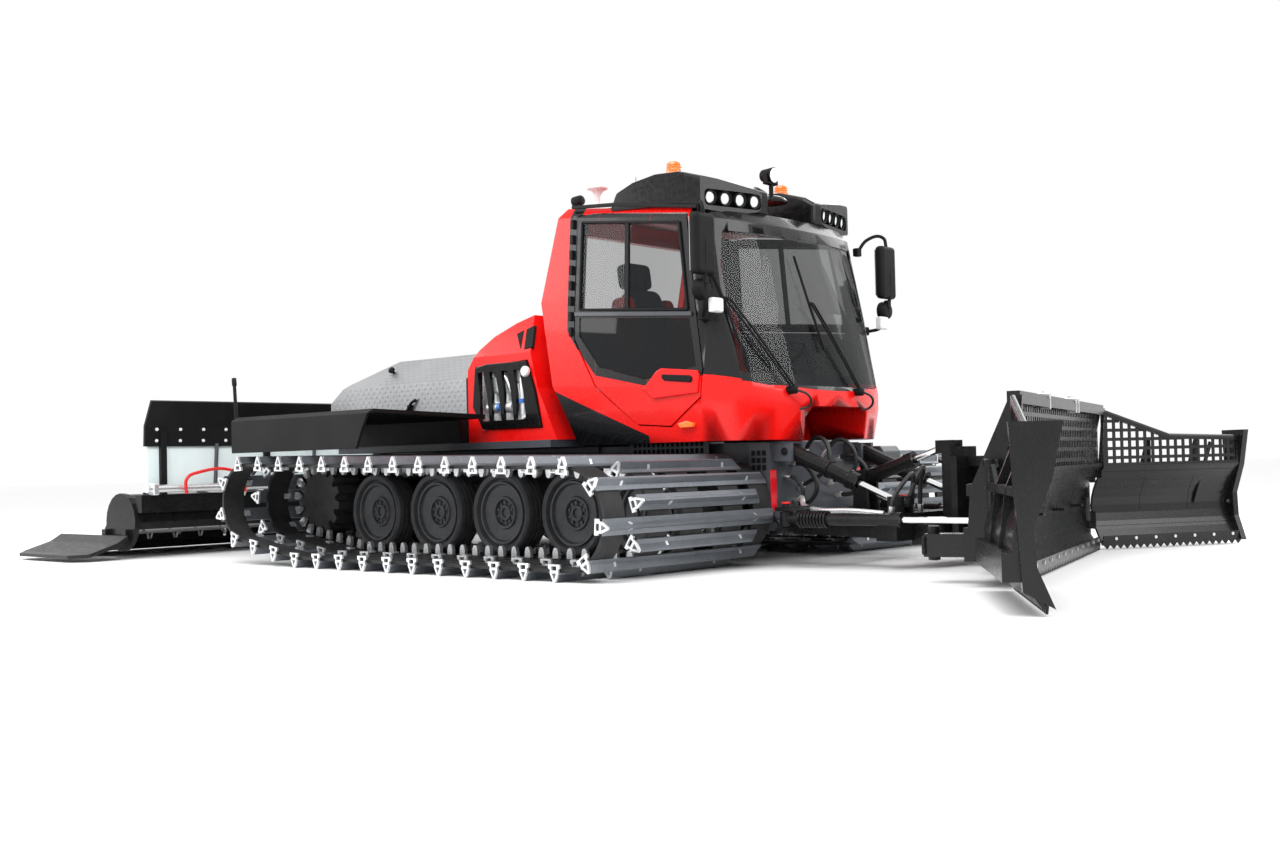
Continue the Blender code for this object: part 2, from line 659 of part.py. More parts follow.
def push_frame():
    """Two arms, a cross box in front, a tower for the top link and lugs for the cylinders."""
    front = box((2.58, -0.56, 0.17), (2.72, 0.56, 0.33))
    pieces = []
    for side in (-1, 1):
        low, high = sorted((side * (ARM_Y - 0.045), side * (ARM_Y + 0.045)))
        arm = [(LIFT_PIVOT[0] + 0.02, 0.20), (2.65, 0.18), (2.65, 0.31), (LIFT_PIVOT[0] + 0.02, 0.32)]
        pieces.append(flat_outline(arm, low, high, "XZ"))
        pieces.append(across(*LIFT_PIVOT, low, high, 0.06))
        low, high = sorted((side * (CYLINDER_Y - 0.062), side * (CYLINDER_Y - 0.035)))
        pieces.append(box((2.60, low, 0.30), (2.70, high, 0.43)))
        low, high = sorted((side * (CYLINDER_Y + 0.035), side * (CYLINDER_Y + 0.062)))
        pieces.append(box((2.60, low, 0.30), (2.70, high, 0.43)))
        low, high = sorted((side * (ARM_Y + 0.02), side * (ARM_Y + 0.065)))
        pieces.append(box((ANGLE_EYE[0] - 0.05, low, 0.22), (ANGLE_EYE[0] + 0.05, high, ANGLE_EYE[2] + 0.06)))
        low, high = sorted((side * (ARM_Y + 0.03), side * (ANGLE_EYE[1] + 0.05)))
        for z in (ANGLE_EYE[2] - 0.075, ANGLE_EYE[2] + 0.050):
            pieces.append(box((ANGLE_EYE[0] - 0.05, low, z), (ANGLE_EYE[0] + 0.05, high, z + 0.025)))
        low, high = sorted((side * 0.30, side * 0.36))
        pieces.append(box((2.70, low, 0.14), (PITCH_PIVOT[0] + 0.05, high, 0.26)))
        pieces.append(across(*PITCH_PIVOT, low, high, 0.055))
    cross = box((2.10, -ARM_Y, 0.22), (2.22, ARM_Y, 0.30))
    pieces.append(cross)
    for low, high in ((-0.075, -0.05), (0.05, 0.075)):
        tower = [(2.10, 0.25), (2.22, 0.25), (TOP_LINK_EYE[0] + 0.04, 0.585), (TOP_LINK_EYE[0] - 0.04, 0.585)]
        pieces.append(flat_outline(tower, low, high, "XZ"))
    return join(front, *pieces)


def lift_ends(side):
    """The upper hinge and the rod's eye of a lift cylinder."""
    eye = Vector((LIFT_EYE[0], side * CYLINDER_Y, LIFT_EYE[1]))
    return eye, Vector((LIFT_ROD_EYE[0], side * CYLINDER_Y, LIFT_ROD_EYE[1]))


def cylinder_barrel(eye, end, length, radius, eye_half, bore_start=0.12, flat_axis=(0, 1, 0)):
    """A hollow barrel from its eye towards the rod's eye, open at the rod's end."""
    along = (end - eye).normalized()
    across_eye = Vector(flat_axis)
    barrel = rod(eye + along * 0.025, eye + along * length, radius, 12)
    ear = rod(eye - across_eye * eye_half, eye + across_eye * eye_half, 0.042, 12)
    collar = rod(eye + along * (length - 0.06), eye + along * (length + 0.005), radius + 0.008, 12)
    bore = rod(eye + along * bore_start, eye + along * (length + 0.05), radius * 0.64, 12)
    return cut(join(barrel, ear, collar), bore)


def cylinder_rod(eye, end, length, radius, eye_half, eye_radius=0.036, flat_axis=(0, 1, 0)):
    """A rod of the given length that starts inside the barrel and ends in an eye."""
    along = (end - eye).normalized()
    across_eye = Vector(flat_axis)
    bar = rod(end - along * length, end - along * 0.02, radius, 12)
    ear = rod(end - across_eye * eye_half, end + across_eye * eye_half, eye_radius, 12)
    return join(bar, ear)


def top_link_ends():
    return (Vector((TOP_LINK_EYE[0], 0, TOP_LINK_EYE[1])), Vector((TOP_LINK_ROD_EYE[0], 0, TOP_LINK_ROD_EYE[1])))


def pitch_head():
    """The head that pitches on the push frame: a hinge bar, an upright and a boss for the roll bearing."""
    bar = box((2.775, -0.27, 0.14), (2.86, 0.27, 0.30))
    hinge = across(*PITCH_PIVOT, -0.29, 0.29, 0.055)
    upright = box((2.80, -0.16, 0.25), (2.86, 0.16, 0.72))
    boss = rod((2.84, 0, ROLL_CENTRE[1]), (2.90, 0, ROLL_CENTRE[1]), 0.13, 24)
    lugs = []
    for low, high in ((-0.065, -0.038), (0.038, 0.065)):
        lugs.append(box((TOP_LINK_ROD_EYE[0] - 0.035, low, 0.68), (2.82, high, 0.76)))
    return join(bar, hinge, upright, boss, *lugs)


def roll_frame():
    """The frame that rolls on the head and holds the blade's upright pivot between two jaws."""
    plate = box((2.905, -0.24, 0.16), (2.945, 0.24, 0.66))
    upper = box((2.93, -0.10, 0.60), (YAW_X + 0.09, 0.10, 0.66))
    lower = box((2.93, -0.10, 0.16), (YAW_X + 0.09, 0.10, 0.22))
    return join(plate, upper, lower)


def blade_frame_matrix():
    return Matrix.Translation((YAW_X, 0, 0)) @ Matrix.Rotation(BLADE_YAW, 4, "Z")


def mould_section(mesh_height):
    """The mouldboard's outline in the blade's own directions, with the upright mesh plate above it."""
    face = []
    back = []
    steps = 10
    for i in range(steps + 1):
        share = i / steps
        z = EDGE_LOW + (MOULD_TOP - EDGE_LOW) * share
        hollow = 0.13 * math.sin(math.pi * share) - 0.03 * share
        face.append((EDGE_FORWARD - hollow, z))
        back.append((EDGE_FORWARD - hollow - 0.022, z))
    if mesh_height > 0:
        face.append((face[-1][0] + 0.03, MOULD_TOP + mesh_height))
        back.append((back[-1][0] + 0.034, MOULD_TOP + mesh_height))
    return face + list(reversed(back))


def blade():
    """The middle of the blade: mouldboard, mesh top, rear beam, pivot post and wing hinges."""
    board = flat_outline(mould_section(MESH_TOP - MOULD_TOP - 0.02), -BLADE_HALF, BLADE_HALF, "XZ")
    pieces = [
        box((0.15, -BLADE_HALF, 0.13), (0.31, BLADE_HALF, 0.30)),
        box((0.17, -BLADE_HALF, 0.46), (0.385, BLADE_HALF, 0.52)),
        box((0.385, -BLADE_HALF, MESH_TOP - 0.06), (0.45, BLADE_HALF, MESH_TOP)),
        box((-0.05, -0.06, 0.2255), (0.20, 0.06, 0.5945)),
    ]
    for i in range(7):
        y = -BLADE_HALF + 0.02 + (2 * BLADE_HALF - 0.04) * i / 6
        rib = [(0.16, 0.15), (0.30, 0.15), (0.34, 0.50), (0.435, MESH_TOP - 0.03), (0.395, MESH_TOP - 0.03),
               (0.19, 0.50)]
        pieces.append(flat_outline(rib, y - 0.02, y + 0.02, "XZ"))
    for side in (-1, 1):
        pieces.append(rod((0.31, side * WING_AXIS, 0.10), (0.31, side * WING_AXIS, 0.62), 0.026, 12))
        for z in (0.15, 0.36, 0.54):
            low, high = sorted((side * (BLADE_HALF - 0.02), side * WING_AXIS))
            pieces.append(box((0.285, low, z), (0.335, high, z + 0.05)))
        low, high = sorted((side * 1.12, side * 1.24))
        pieces.append(box((-0.10, low, 0.14), (0.20, high, 0.26)))
        low, high = sorted((side * (ANGLE_ARM[1] - 0.05), side * (ANGLE_ARM[1] + 0.05)))
        for z in (0.132, 0.448):
            pieces.append(box((ANGLE_ARM[0] - 0.04, low, z), (0.20, high, z + 0.020)))
        pieces.append(box((0.175, low, 0.14), (0.20, high, 0.50)))
    whole = join(board, *pieces)
    return bake(whole, blade_frame_matrix())


def wing(side, swing):
    """A wing: the same mouldboard section with a tapering mesh, an end plate and a hinge sleeve."""
    reach = WING_REACH
    start = 0.065
    low, high = sorted((side * start, side * reach))
    board = flat_outline(mould_section(0.0), low, high, "XZ")
    mesh_plate = [(side * start, MOULD_TOP - 0.02), (side * reach, MOULD_TOP - 0.02), (side * reach, 0.76),
                  (side * 0.60, 0.78), (side * start, 0.95)]
    if side > 0:
        mesh_plate.reverse()
    pieces = [flat_outline(mesh_plate, 0.405, 0.425, "YZ")]
    low, high = sorted((side * (reach - 0.02), side * (reach + 0.02)))
    end = [(0.30, 0.10), (EDGE_FORWARD + 0.03, EDGE_LOW), (EDGE_FORWARD - 0.04, 0.20), (EDGE_FORWARD - 0.05, 0.36),
           (EDGE_FORWARD + 0.03, 0.56), (EDGE_FORWARD + 0.08, 0.80), (0.26, 0.80)]
    pieces.append(flat_outline(end, low, high, "XZ"))
    low, high = sorted((side * start, side * reach))
    pieces.append(box((0.22, low, 0.14), (0.32, high, 0.26)))
    pieces.append(box((0.28, low, 0.49), (0.40, high, 0.53)))
    for share in (0.35, 0.70):
        middle = side * (start + (reach - start) * share)
        rib = [(0.23, 0.16), (0.30, 0.16), (0.39, 0.60), (0.41, 0.76), (0.38, 0.76), (0.28, 0.52)]
        pieces.append(flat_outline(rib, middle - 0.015, middle + 0.015, "XZ"))
    whole = join(board, *pieces)
    if side < 0:
        turn_angle = BLADE_YAW + swing
    else:
        turn_angle = BLADE_YAW - swing
    hinge = blade_frame_matrix() @ Matrix.Translation((0.31, side * WING_AXIS, 0))
    to_hinge = Matrix.Translation((-0.31, 0, 0))
    spin = Matrix.Rotation(turn_angle - BLADE_YAW, 4, "Z")
    return bake(whole, hinge @ spin @ to_hinge)


def angle_ends(side):
    rear = Vector((ANGLE_EYE[0], side * ANGLE_EYE[1], ANGLE_EYE[2]))
    lug = blade_frame_matrix() @ Vector((ANGLE_ARM[0], side * ANGLE_ARM[1], ANGLE_EYE[2]))
    return rear, lug


# ---------------------------------------------------------------- rear tiller

def tiller_frame():
    """Two lift arms, a cross tube, a post for the cylinder's rod and the swing hinge."""
    pieces = []
    for side in (-1, 1):
        low, high = sorted((side * 0.425, side * 0.495))
        pieces.append(box((-2.90, low, 0.50), (TILLER_LIFT[0], high, 0.62)))
        pieces.append(across(*TILLER_LIFT, low, high, 0.06))
        low, high = sorted((side * 0.045, side * 0.075))
        pieces.append(flat_outline([(-2.88, 0.60), (-2.78, 0.60), (-2.80, 0.76), (-2.88, 0.76)], low, high, "XZ"))
    tube_box = box((-2.91, -0.90, 0.50), (-2.80, 0.90, 0.62))
    pieces.append(box((SWING_X - 0.05, -0.08, 0.575), (-2.85, 0.08, 0.62)))
    pieces.append(box((SWING_X - 0.05, -0.08, 0.42), (-2.85, 0.08, 0.465)))
    pieces.append(box((-2.90, -0.08, 0.42), (-2.85, 0.08, 0.55)))
    return join(tube_box, *pieces)


def rear_guard():
    """The folded board across the rear, above the tiller, on arms that stand on the tiller's beam."""
    section = [(-3.18, 0.88), (-3.17, 1.04), (-3.06, 1.24), (-3.04, 1.23), (-3.145, 1.035), (-3.155, 0.88)]
    board = flat_outline(list(reversed(section)), -2.05, 2.05, "XZ")
    arms = []
    for y in (-1.90, -0.95, 0.95, 1.90):
        arms.append(box((-3.165, y - 0.025, 0.5005), (-3.13, y + 0.025, 1.0)))
    return join(board, *arms)


def swing_head():
    """The block that swings on the lift frame's upright pin and carries the tiller's roll bearing."""
    block = box((SWING_X - 0.055, -0.075, 0.4655), (SWING_X + 0.055, 0.075, 0.5745))
    neck = box((ROLL_TILLER[0] + 0.02, -0.11, 0.33), (SWING_X - 0.06, 0.11, 0.56))
    link = box((SWING_X - 0.08, -0.07, 0.47), (SWING_X, 0.07, 0.57))
    boss = rod((-3.05, 0, ROLL_TILLER[1]), (-3.119, 0, ROLL_TILLER[1]), 0.055, 16)
    return join(block, neck, link, boss)


def tiller_housing():
    """The hood over the shaft with its beam, end plates and top tube."""
    outer = arc(SHAFT, HOOD_RADIUS, -15, 195, 14)
    inner = arc(SHAFT, HOOD_RADIUS - 0.02, 195, -15, 14)
    hood = flat_outline(outer + inner, -TILLER_HALF, TILLER_HALF, "XZ")
    pieces = [box((-3.22, -TILLER_HALF, 0.36), (-3.125, TILLER_HALF, 0.50))]
    for side in (-1, 1):
        low, high = sorted((side * (TILLER_HALF - 0.02), side * (TILLER_HALF + 0.02)))
        plate = arc(SHAFT, HOOD_RADIUS + 0.01, -150, 195, 20)
        pieces.append(flat_outline(plate, low, high, "XZ"))
        pieces.append(across(SHAFT[0], SHAFT[1], side * (TILLER_HALF - 0.05), side * TILLER_HALF, 0.06, 16))
        low, high = sorted((side * (TILLER_HALF - 0.01), side * (FLAP_HINGE[0])))
        for x in (-3.30, -3.62):
            pieces.append(box((x - 0.03, low, FLAP_HINGE[1] - 0.02), (x + 0.03, high, FLAP_HINGE[1] + 0.03)))
    return join(hood, *pieces)


def tiller_shaft():
    """The cutter shaft with rows of spikes on a spiral."""
    end = TILLER_HALF - 0.055
    shaft = across(*SHAFT, -end, end, SHAFT_RADIUS, 16)
    spikes = []
    rows = 12
    for i in range(rows):
        y = -end + 0.14 + (2 * end - 0.28) * i / (rows - 1)
        for j in range(2):
            angle = math.pi * j + i * 0.9
            tip = Vector((math.cos(angle), 0, math.sin(angle)))
            foot = Vector((SHAFT[0], y, SHAFT[1]))
            spikes.append(rod(foot + tip * (SHAFT_RADIUS - 0.02), foot + tip * SPIKE_RADIUS, 0.03, 4, end_radius=0.012))
    return join(shaft, *spikes)


def finisher():
    """The smoothing mat behind the hood: it runs down to the snow and ends flat."""
    top = [(-3.651, 0.31), (-3.70, 0.25), (-3.80, 0.14), (-3.95, 0.065), (-4.20, 0.045), (-4.56, 0.042)]
    bottom = [(-4.56, 0.020), (-4.20, 0.023), (-3.945, 0.042), (-3.785, 0.115), (-3.68, 0.235), (-3.651, 0.27)]
    return flat_outline(top + bottom, -TILLER_HALF, TILLER_HALF, "XZ")


def side_flap():
    """The right side flap of the finisher, hinged to fold up."""
    y = -FLAP_HINGE[0]
    section = [(y - 0.02, FLAP_HINGE[1] - 0.015), (y - 0.02, FLAP_HINGE[1] - 0.045), (y - 0.10, 0.10),
               (y - FLAP_REACH + 0.1, 0.03), (y - FLAP_REACH, 0.03), (y - FLAP_REACH, 0.055),
               (y - FLAP_REACH + 0.1, 0.06), (y - 0.11, 0.13)]
    sheet = flat_outline(list(reversed(section)), -4.30, -3.20, "YZ")
    corner = flat_outline([(-4.4, -2.42), (-4.4, -2.7), (-4.0, -2.7)], -0.1, 0.4, "XY")
    lead = flat_outline([(-3.1, -2.40), (-3.45, -2.7), (-3.1, -2.7)], -0.1, 0.4, "XY")
    return cut(sheet, corner, lead)


# ---------------------------------------------------------------- assembly

def build_running_gear(paint, rubber, steel):
    for side, word in ((-1, "right"), (1, "left")):
        name_piece(track(side), f"track_{word}", rubber)
        name_piece(road_wheels(side), f"road_wheels_{word}", steel)
    name_piece(drive_axle(), "drive_axle", steel)
    name_piece(chassis_frame(), "chassis_frame", paint["grey"])


def build_deck(paint, steel):
    name_piece(load_deck(), "load_deck", paint["satin"])
    name_piece(box((-1.80, -0.42, DECK_FLOOR + GAP), (-1.08, 0.42, 1.36)), "engine_block", paint["satin"])
    name_piece(engine_fairing(), "engine_fairing", paint["red"])
    cover = name_piece(side_cover(), "side_cover_right", paint["gloss"])
    mirrored(cover, "side_cover_left")
    name_piece(deck_cover(), "deck_cover", steel, (-0.64, 0, 1.50))
    board = name_piece(fender(), "fender_right", paint["satin"])
    mirrored(board, "fender_left")


def build_cab(paint, glass, cloth):
    shell = cab_shell_whole()
    holes = [flat_outline(DOOR, -1.2, 1.2, "XZ"), flat_outline(WINDSCREEN, 1.45, 2.3, "YZ")]
    name_piece(cut(shell, *holes), "cab_shell", paint["red"], (0.9, *CAB_AXIS))
    door = name_piece(cab_door(), "door_right", paint["gloss"], (0.46, -DOOR_HINGE_Y, 1.6))
    left = copy_of(door)
    left.data.transform(Matrix.Translation(door.location))
    left.data.transform(Matrix.Scale(-1, 4, (0, 1, 0)))
    left.data.flip_normals()
    name_piece(left, "door_left", paint["gloss"], (0.46, DOOR_HINGE_Y, 1.6))
    name_piece(windshield(), "windshield", glass)
    name_piece(roof_visor(), "roof_visor", paint["gloss"])
    glass_right = name_piece(mirror(), "mirror_right", paint["satin"])
    mirrored(glass_right, "mirror_left")
    name_piece(searchlight(), "searchlight", paint["satin"], (1.47, 0, 2.5))
    name_piece(seat(0.36), "seat_driver", cloth)
    name_piece(seat(-0.36), "seat_passenger", cloth)
    name_piece(dashboard(), "dashboard", paint["satin"])
    name_piece(steering_wheel(), "steering_wheel", paint["satin"], (1.270, 0.36, 1.385))


def build_front(paint, steel):
    name_piece(push_frame(), "push_frame", paint["satin"], (LIFT_PIVOT[0], 0, LIFT_PIVOT[1]))
    for side, word in ((-1, "right"), (1, "left")):
        eye, end = lift_ends(side)
        name_piece(cylinder_barrel(eye, end, 0.53, 0.050, 0.045), f"lift_barrel_{word}", paint["satin"], eye)
        name_piece(cylinder_rod(eye, end, 0.60, 0.022, 0.030), f"lift_rod_{word}", steel)
        rear, lug = angle_ends(side)
        up = (0, 0, 1)
        barrel = cylinder_barrel(rear, lug, 0.769, 0.036, 0.045, flat_axis=up)
        name_piece(barrel, f"angle_barrel_{word}", paint["satin"], rear)
        name_piece(cylinder_rod(rear, lug, 0.718, 0.018, 0.028, 0.030, up), f"angle_rod_{word}", steel)
    rear, end = top_link_ends()
    name_piece(cylinder_barrel(rear, end, 0.378, 0.045, 0.045), "pitch_barrel", paint["satin"], rear)
    name_piece(cylinder_rod(rear, end, 0.39, 0.022, 0.030), "pitch_rod", steel)
    name_piece(pitch_head(), "pitch_head", paint["satin"], (PITCH_PIVOT[0], 0, PITCH_PIVOT[1]))
    name_piece(roll_frame(), "roll_frame", paint["satin"], (ROLL_CENTRE[0], 0, ROLL_CENTRE[1]))
    name_piece(blade(), "blade", paint["gloss"], (YAW_X, 0, 0.4))
    for side, swing, word in ((-1, WING_RIGHT_SWING, "right"), (1, WING_LEFT_SWING, "left")):
        axis = blade_frame_matrix() @ Vector((0.31, side * WING_AXIS, 0.36))
        name_piece(wing(side, swing), f"wing_{word}", paint["gloss"], axis)


def build_rear(paint, steel, rubber, clear):
    name_piece(tiller_frame(), "tiller_frame", paint["satin"], (TILLER_LIFT[0], 0, TILLER_LIFT[1]))
    name_piece(rear_guard(), "rear_guard", paint["satin"])
    sheet = box((-3.176, -2.02, 0.56), (-3.170, 2.02, 0.8795))
    name_piece(sheet, "snow_curtain", clear)
    top = Vector((TILLER_EYE[0], 0, TILLER_EYE[1]))
    eye = Vector((TILLER_ROD_EYE[0], 0, TILLER_ROD_EYE[1]))
    name_piece(cylinder_barrel(top, eye, 0.291, 0.040, 0.050, 0.05), "tiller_barrel", paint["satin"], top)
    name_piece(cylinder_rod(top, eye, 0.269, 0.020, 0.038), "tiller_rod", steel)
    name_piece(swing_head(), "swing_head", paint["satin"], (SWING_X, 0, 0.52))
    name_piece(tiller_housing(), "tiller_housing", steel, (ROLL_TILLER[0], 0, ROLL_TILLER[1]))
    name_piece(tiller_shaft(), "tiller_shaft", paint["satin"], (SHAFT[0], 0, SHAFT[1]))
    name_piece(finisher(), "finisher", rubber)
    flap = name_piece(side_flap(), "side_flap_right", rubber)
    mirrored(flap, "side_flap_left")


clear_scene()
PARTS = make_collection("snowcat groomer")
paints = {
    "red": make_material("red_paint", RED, 0.25),
    "gloss": make_material("gloss_black", GLOSS_BLACK, 0.15),
    "satin": make_material("satin_black", SATIN_BLACK, 0.45),
    "grey": make_material("panel_grey", PANEL_GREY, 0.5),
}
rubber_material = make_material("rubber", RUBBER, 0.8)
wheel_material = make_material("wheel_grey", (0.045, 0.047, 0.052), 0.55)
steel_material = make_material("bare_steel", STEEL, 0.3, 0.9)
aluminium_material = make_material("aluminium", ALUMINIUM, 0.35, 0.9)
glass_material = make_material("tinted_glass", GLASS, 0.05)
clear_material = make_material("clear_sheet", CLEAR, 0.1)
cloth_material = make_material("seat_cloth", CLOTH, 0.9)

build_running_gear(paints, rubber_material, wheel_material)
build_deck(paints, aluminium_material)
build_cab(paints, glass_material, cloth_material)
build_front(paints, steel_material)
build_rear(paints, steel_material, rubber_material, clear_material)
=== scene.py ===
# %% [markdown]
# # A snowcat groomer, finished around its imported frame
# A snow groomer is a tracked tractor: wide belts with aluminium bars, a tilting cab, a blade with two wings
# in front and a tiller with a smoothing mat behind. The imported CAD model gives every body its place.
# This lesson keeps the CAD parts whose shape is right, gives them real finishes, and models the
# details that make the machine: bars and brackets, wheels, lamps, glass, hoses, grilles and bolts.

# %% Load the frame
import math

import bpy
from mathutils import Matrix, Vector


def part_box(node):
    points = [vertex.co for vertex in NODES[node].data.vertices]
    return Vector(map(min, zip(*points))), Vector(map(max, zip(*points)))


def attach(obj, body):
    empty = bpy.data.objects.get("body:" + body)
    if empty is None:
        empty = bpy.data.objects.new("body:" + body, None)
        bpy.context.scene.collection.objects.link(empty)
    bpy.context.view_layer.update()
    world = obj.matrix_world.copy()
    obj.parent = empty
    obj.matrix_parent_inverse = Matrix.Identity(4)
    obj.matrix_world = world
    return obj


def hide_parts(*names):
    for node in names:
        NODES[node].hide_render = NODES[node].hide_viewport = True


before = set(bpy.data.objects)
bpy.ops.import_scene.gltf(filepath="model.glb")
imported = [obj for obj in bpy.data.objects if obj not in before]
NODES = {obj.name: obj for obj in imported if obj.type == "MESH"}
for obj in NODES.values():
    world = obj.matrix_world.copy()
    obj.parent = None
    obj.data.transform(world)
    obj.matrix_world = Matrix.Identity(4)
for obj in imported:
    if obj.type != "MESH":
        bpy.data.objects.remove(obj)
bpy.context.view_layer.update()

# %% [markdown]
# ## Working tools
# Blender's operators act on whatever is selected, so every helper starts by deselecting. A finished piece has
# its place in its mesh and its object at the origin, like the CAD parts, so patterns stay put on it.
# Boxes and rods are primitives with rounded edges; a plate is an outline that is drawn vertex by vertex
# with the extrude operator, filled, and extruded to its thickness.

# %% Selection and finishing helpers
SIDES = (("right", -1), ("left", 1))
PLANES = {"XZ": (0, 2, 1), "YZ": (1, 2, 0), "XY": (0, 1, 2)}


def deselect():
    for chosen in list(bpy.context.selected_objects):
        chosen.select_set(False)


def active():
    return bpy.context.view_layer.objects.active


def pick(piece):
    deselect()
    piece.select_set(True)
    bpy.context.view_layer.objects.active = piece
    return piece


def settle(name):
    """Puts the active piece's place into its mesh and names it."""
    bpy.ops.object.transform_apply(location=True, rotation=True, scale=True)
    piece = active()
    piece.name = piece.data.name = name
    return piece


def modify(piece, kind, **settings):
    """Adds a modifier, sets it and applies it."""
    pick(piece)
    modifier = piece.modifiers.new(kind.lower(), kind)
    for key, value in settings.items():
        setattr(modifier, key, value)
    bpy.ops.object.modifier_apply(modifier=modifier.name)
    return piece


def rounded(piece, width, segments=2, angle=35):
    """Rounds the sharp edges."""
    return modify(piece, "BEVEL", width=width, segments=segments, limit_method="ANGLE",
                  angle_limit=math.radians(angle))


def smooth(piece, angle=35):
    pick(piece)
    bpy.ops.object.shade_smooth_by_angle(angle=math.radians(angle))
    return piece


def outward(piece):
    """Makes all faces of a closed piece point outwards."""
    pick(piece)
    bpy.ops.object.mode_set(mode="EDIT")
    bpy.ops.mesh.select_all(action="SELECT")
    bpy.ops.mesh.remove_doubles(threshold=0.00005)
    bpy.ops.mesh.normals_make_consistent(inside=False)
    bpy.ops.object.mode_set(mode="OBJECT")
    return piece


# %% [markdown]
# Boxes, bars, plates and bent tubes make up most of the machine, as they do in a real workshop. Each helper
# starts from a primitive or a single vertex and works on it with operators, so the pieces that use it stay
# short to write.

# %% Making helpers
def block(low, high, bevel=0.0, segments=2, name="block"):
    """A box between two corners, with rounded edges."""
    deselect()
    low, high = Vector(low), Vector(high)
    bpy.ops.mesh.primitive_cube_add(size=1, location=(low + high) / 2)
    active().scale = [abs(a - b) for a, b in zip(high, low)]
    piece = settle(name)
    return rounded(piece, bevel, segments) if bevel else piece


def rod(start, end, radius, sides=24, tip=None, bevel=0.0, name="rod"):
    """A round bar between two points; tip is the radius at the end, if it tapers."""
    deselect()
    start, end = Vector(start), Vector(end)
    turn = (end - start).to_track_quat("Z", "Y").to_euler()
    bpy.ops.mesh.primitive_cone_add(vertices=sides, radius1=radius, radius2=radius if tip is None else tip,
                                    depth=(end - start).length, location=(start + end) / 2, rotation=turn)
    piece = settle(name)
    if bevel:
        rounded(piece, bevel, 2, 50)
    return smooth(piece)


def plate(outline, low, high, plane="XZ", bevel=0.0, name="plate"):
    """A plate: an outline in a plane, drawn by extruding a vertex, then filled and given its thickness."""
    first, second, third = PLANES[plane]

    def place(a, b, c=0.0):
        spot = [0.0, 0.0, 0.0]
        spot[first], spot[second], spot[third] = a, b, c
        return Vector(spot)

    deselect()
    start = place(*outline[0], low)
    bpy.ops.mesh.primitive_plane_add(size=0.001, location=start)
    bpy.ops.object.mode_set(mode="EDIT")
    bpy.ops.mesh.merge(type="CENTER")
    for before, after in zip(outline, outline[1:]):
        step = place(*after) - place(*before)
        bpy.ops.mesh.extrude_region_move(TRANSFORM_OT_translate={"value": step})
    bpy.ops.mesh.select_all(action="SELECT")
    bpy.ops.mesh.edge_face_add()
    bpy.ops.mesh.extrude_region_move(TRANSFORM_OT_translate={"value": place(0, 0, high - low)})
    bpy.ops.mesh.select_all(action="SELECT")
    bpy.ops.mesh.normals_make_consistent(inside=False)
    bpy.ops.object.mode_set(mode="OBJECT")
    piece = settle(name)
    return rounded(piece, bevel) if bevel else piece


def tube(points, radius, name="tube", sides=4, round_path=True):
    """A bent pipe or hose through points."""
    deselect()
    bpy.ops.curve.primitive_bezier_curve_add()
    curve = active().data
    curve.splines.clear()
    spline = curve.splines.new("BEZIER" if round_path else "POLY")
    if round_path:
        spline.bezier_points.add(len(points) - 1)
        for knot, point in zip(spline.bezier_points, points):
            knot.co = point
            knot.handle_left_type = knot.handle_right_type = "AUTO"
    else:
        spline.points.add(len(points) - 1)
        for knot, point in zip(spline.points, points):
            knot.co = (*point, 1)
    curve.dimensions = "3D"
    curve.resolution_u = 8
    curve.bevel_depth = radius
    curve.bevel_resolution = sides
    curve.use_fill_caps = True
    bpy.ops.object.convert(target="MESH")
    return smooth(settle(name))


def copy_of(piece, matrix=None, name=None):
    """A copy with its own mesh, moved by a matrix."""
    twin = piece.copy()
    twin.data = piece.data.copy()
    bpy.context.scene.collection.objects.link(twin)
    if matrix is not None:
        twin.data.transform(matrix)
    if name:
        twin.name = twin.data.name = name
    return twin


def mirrored(piece, name=None):
    """The piece's twin on the machine's other side, with its faces turned to point outwards again."""
    twin = copy_of(piece, Matrix.Scale(-1, 4, (0, 1, 0)), name)
    twin.data.flip_normals()
    return twin


def join(pieces, name):
    """Joins pieces into one object."""
    deselect()
    for piece in pieces:
        piece.select_set(True)
    bpy.context.view_layer.objects.active = pieces[0]
    if len(pieces) > 1:
        bpy.ops.object.join()
    piece = active()
    piece.name = piece.data.name = name
    return piece


def carve(piece, *cutters):
    """Cuts other pieces out of this one and removes them."""
    for cutter in cutters:
        modify(piece, "BOOLEAN", operation="DIFFERENCE", object=cutter, solver="EXACT")
        bpy.data.objects.remove(cutter)
    return piece


def done(piece, body, material, slot, *replaced, name=None):
    """Gives a finished piece its finish and its body; the slot is not used."""
    if name:
        piece.name = piece.data.name = name
    piece.data.materials.clear()
    piece.data.materials.append(material)
    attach(piece, body)
    if replaced:
        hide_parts(*replaced)
    return piece


# %% [markdown]
# ## Finishes
# Every finish is a Principled shader fed by a few procedural textures in object coordinates, in metres:
# a broad noise that moves the colour a little, a fine one for roughness and relief, and a scuff mask.
# Paint on such a machine is fresh and glossy above and dusty near the ground, so a finish may also get
# a pale film that grows downwards.

# %% Node helpers
def new_material(name, base, roughness, metallic=0.0):
    material = bpy.data.materials.new(name)
    material.use_nodes = True
    tree = material.node_tree
    shader = tree.nodes["Principled BSDF"]
    shader.inputs["Base Color"].default_value = (*base, 1)
    shader.inputs["Roughness"].default_value = roughness
    shader.inputs["Metallic"].default_value = metallic
    return material, tree, shader


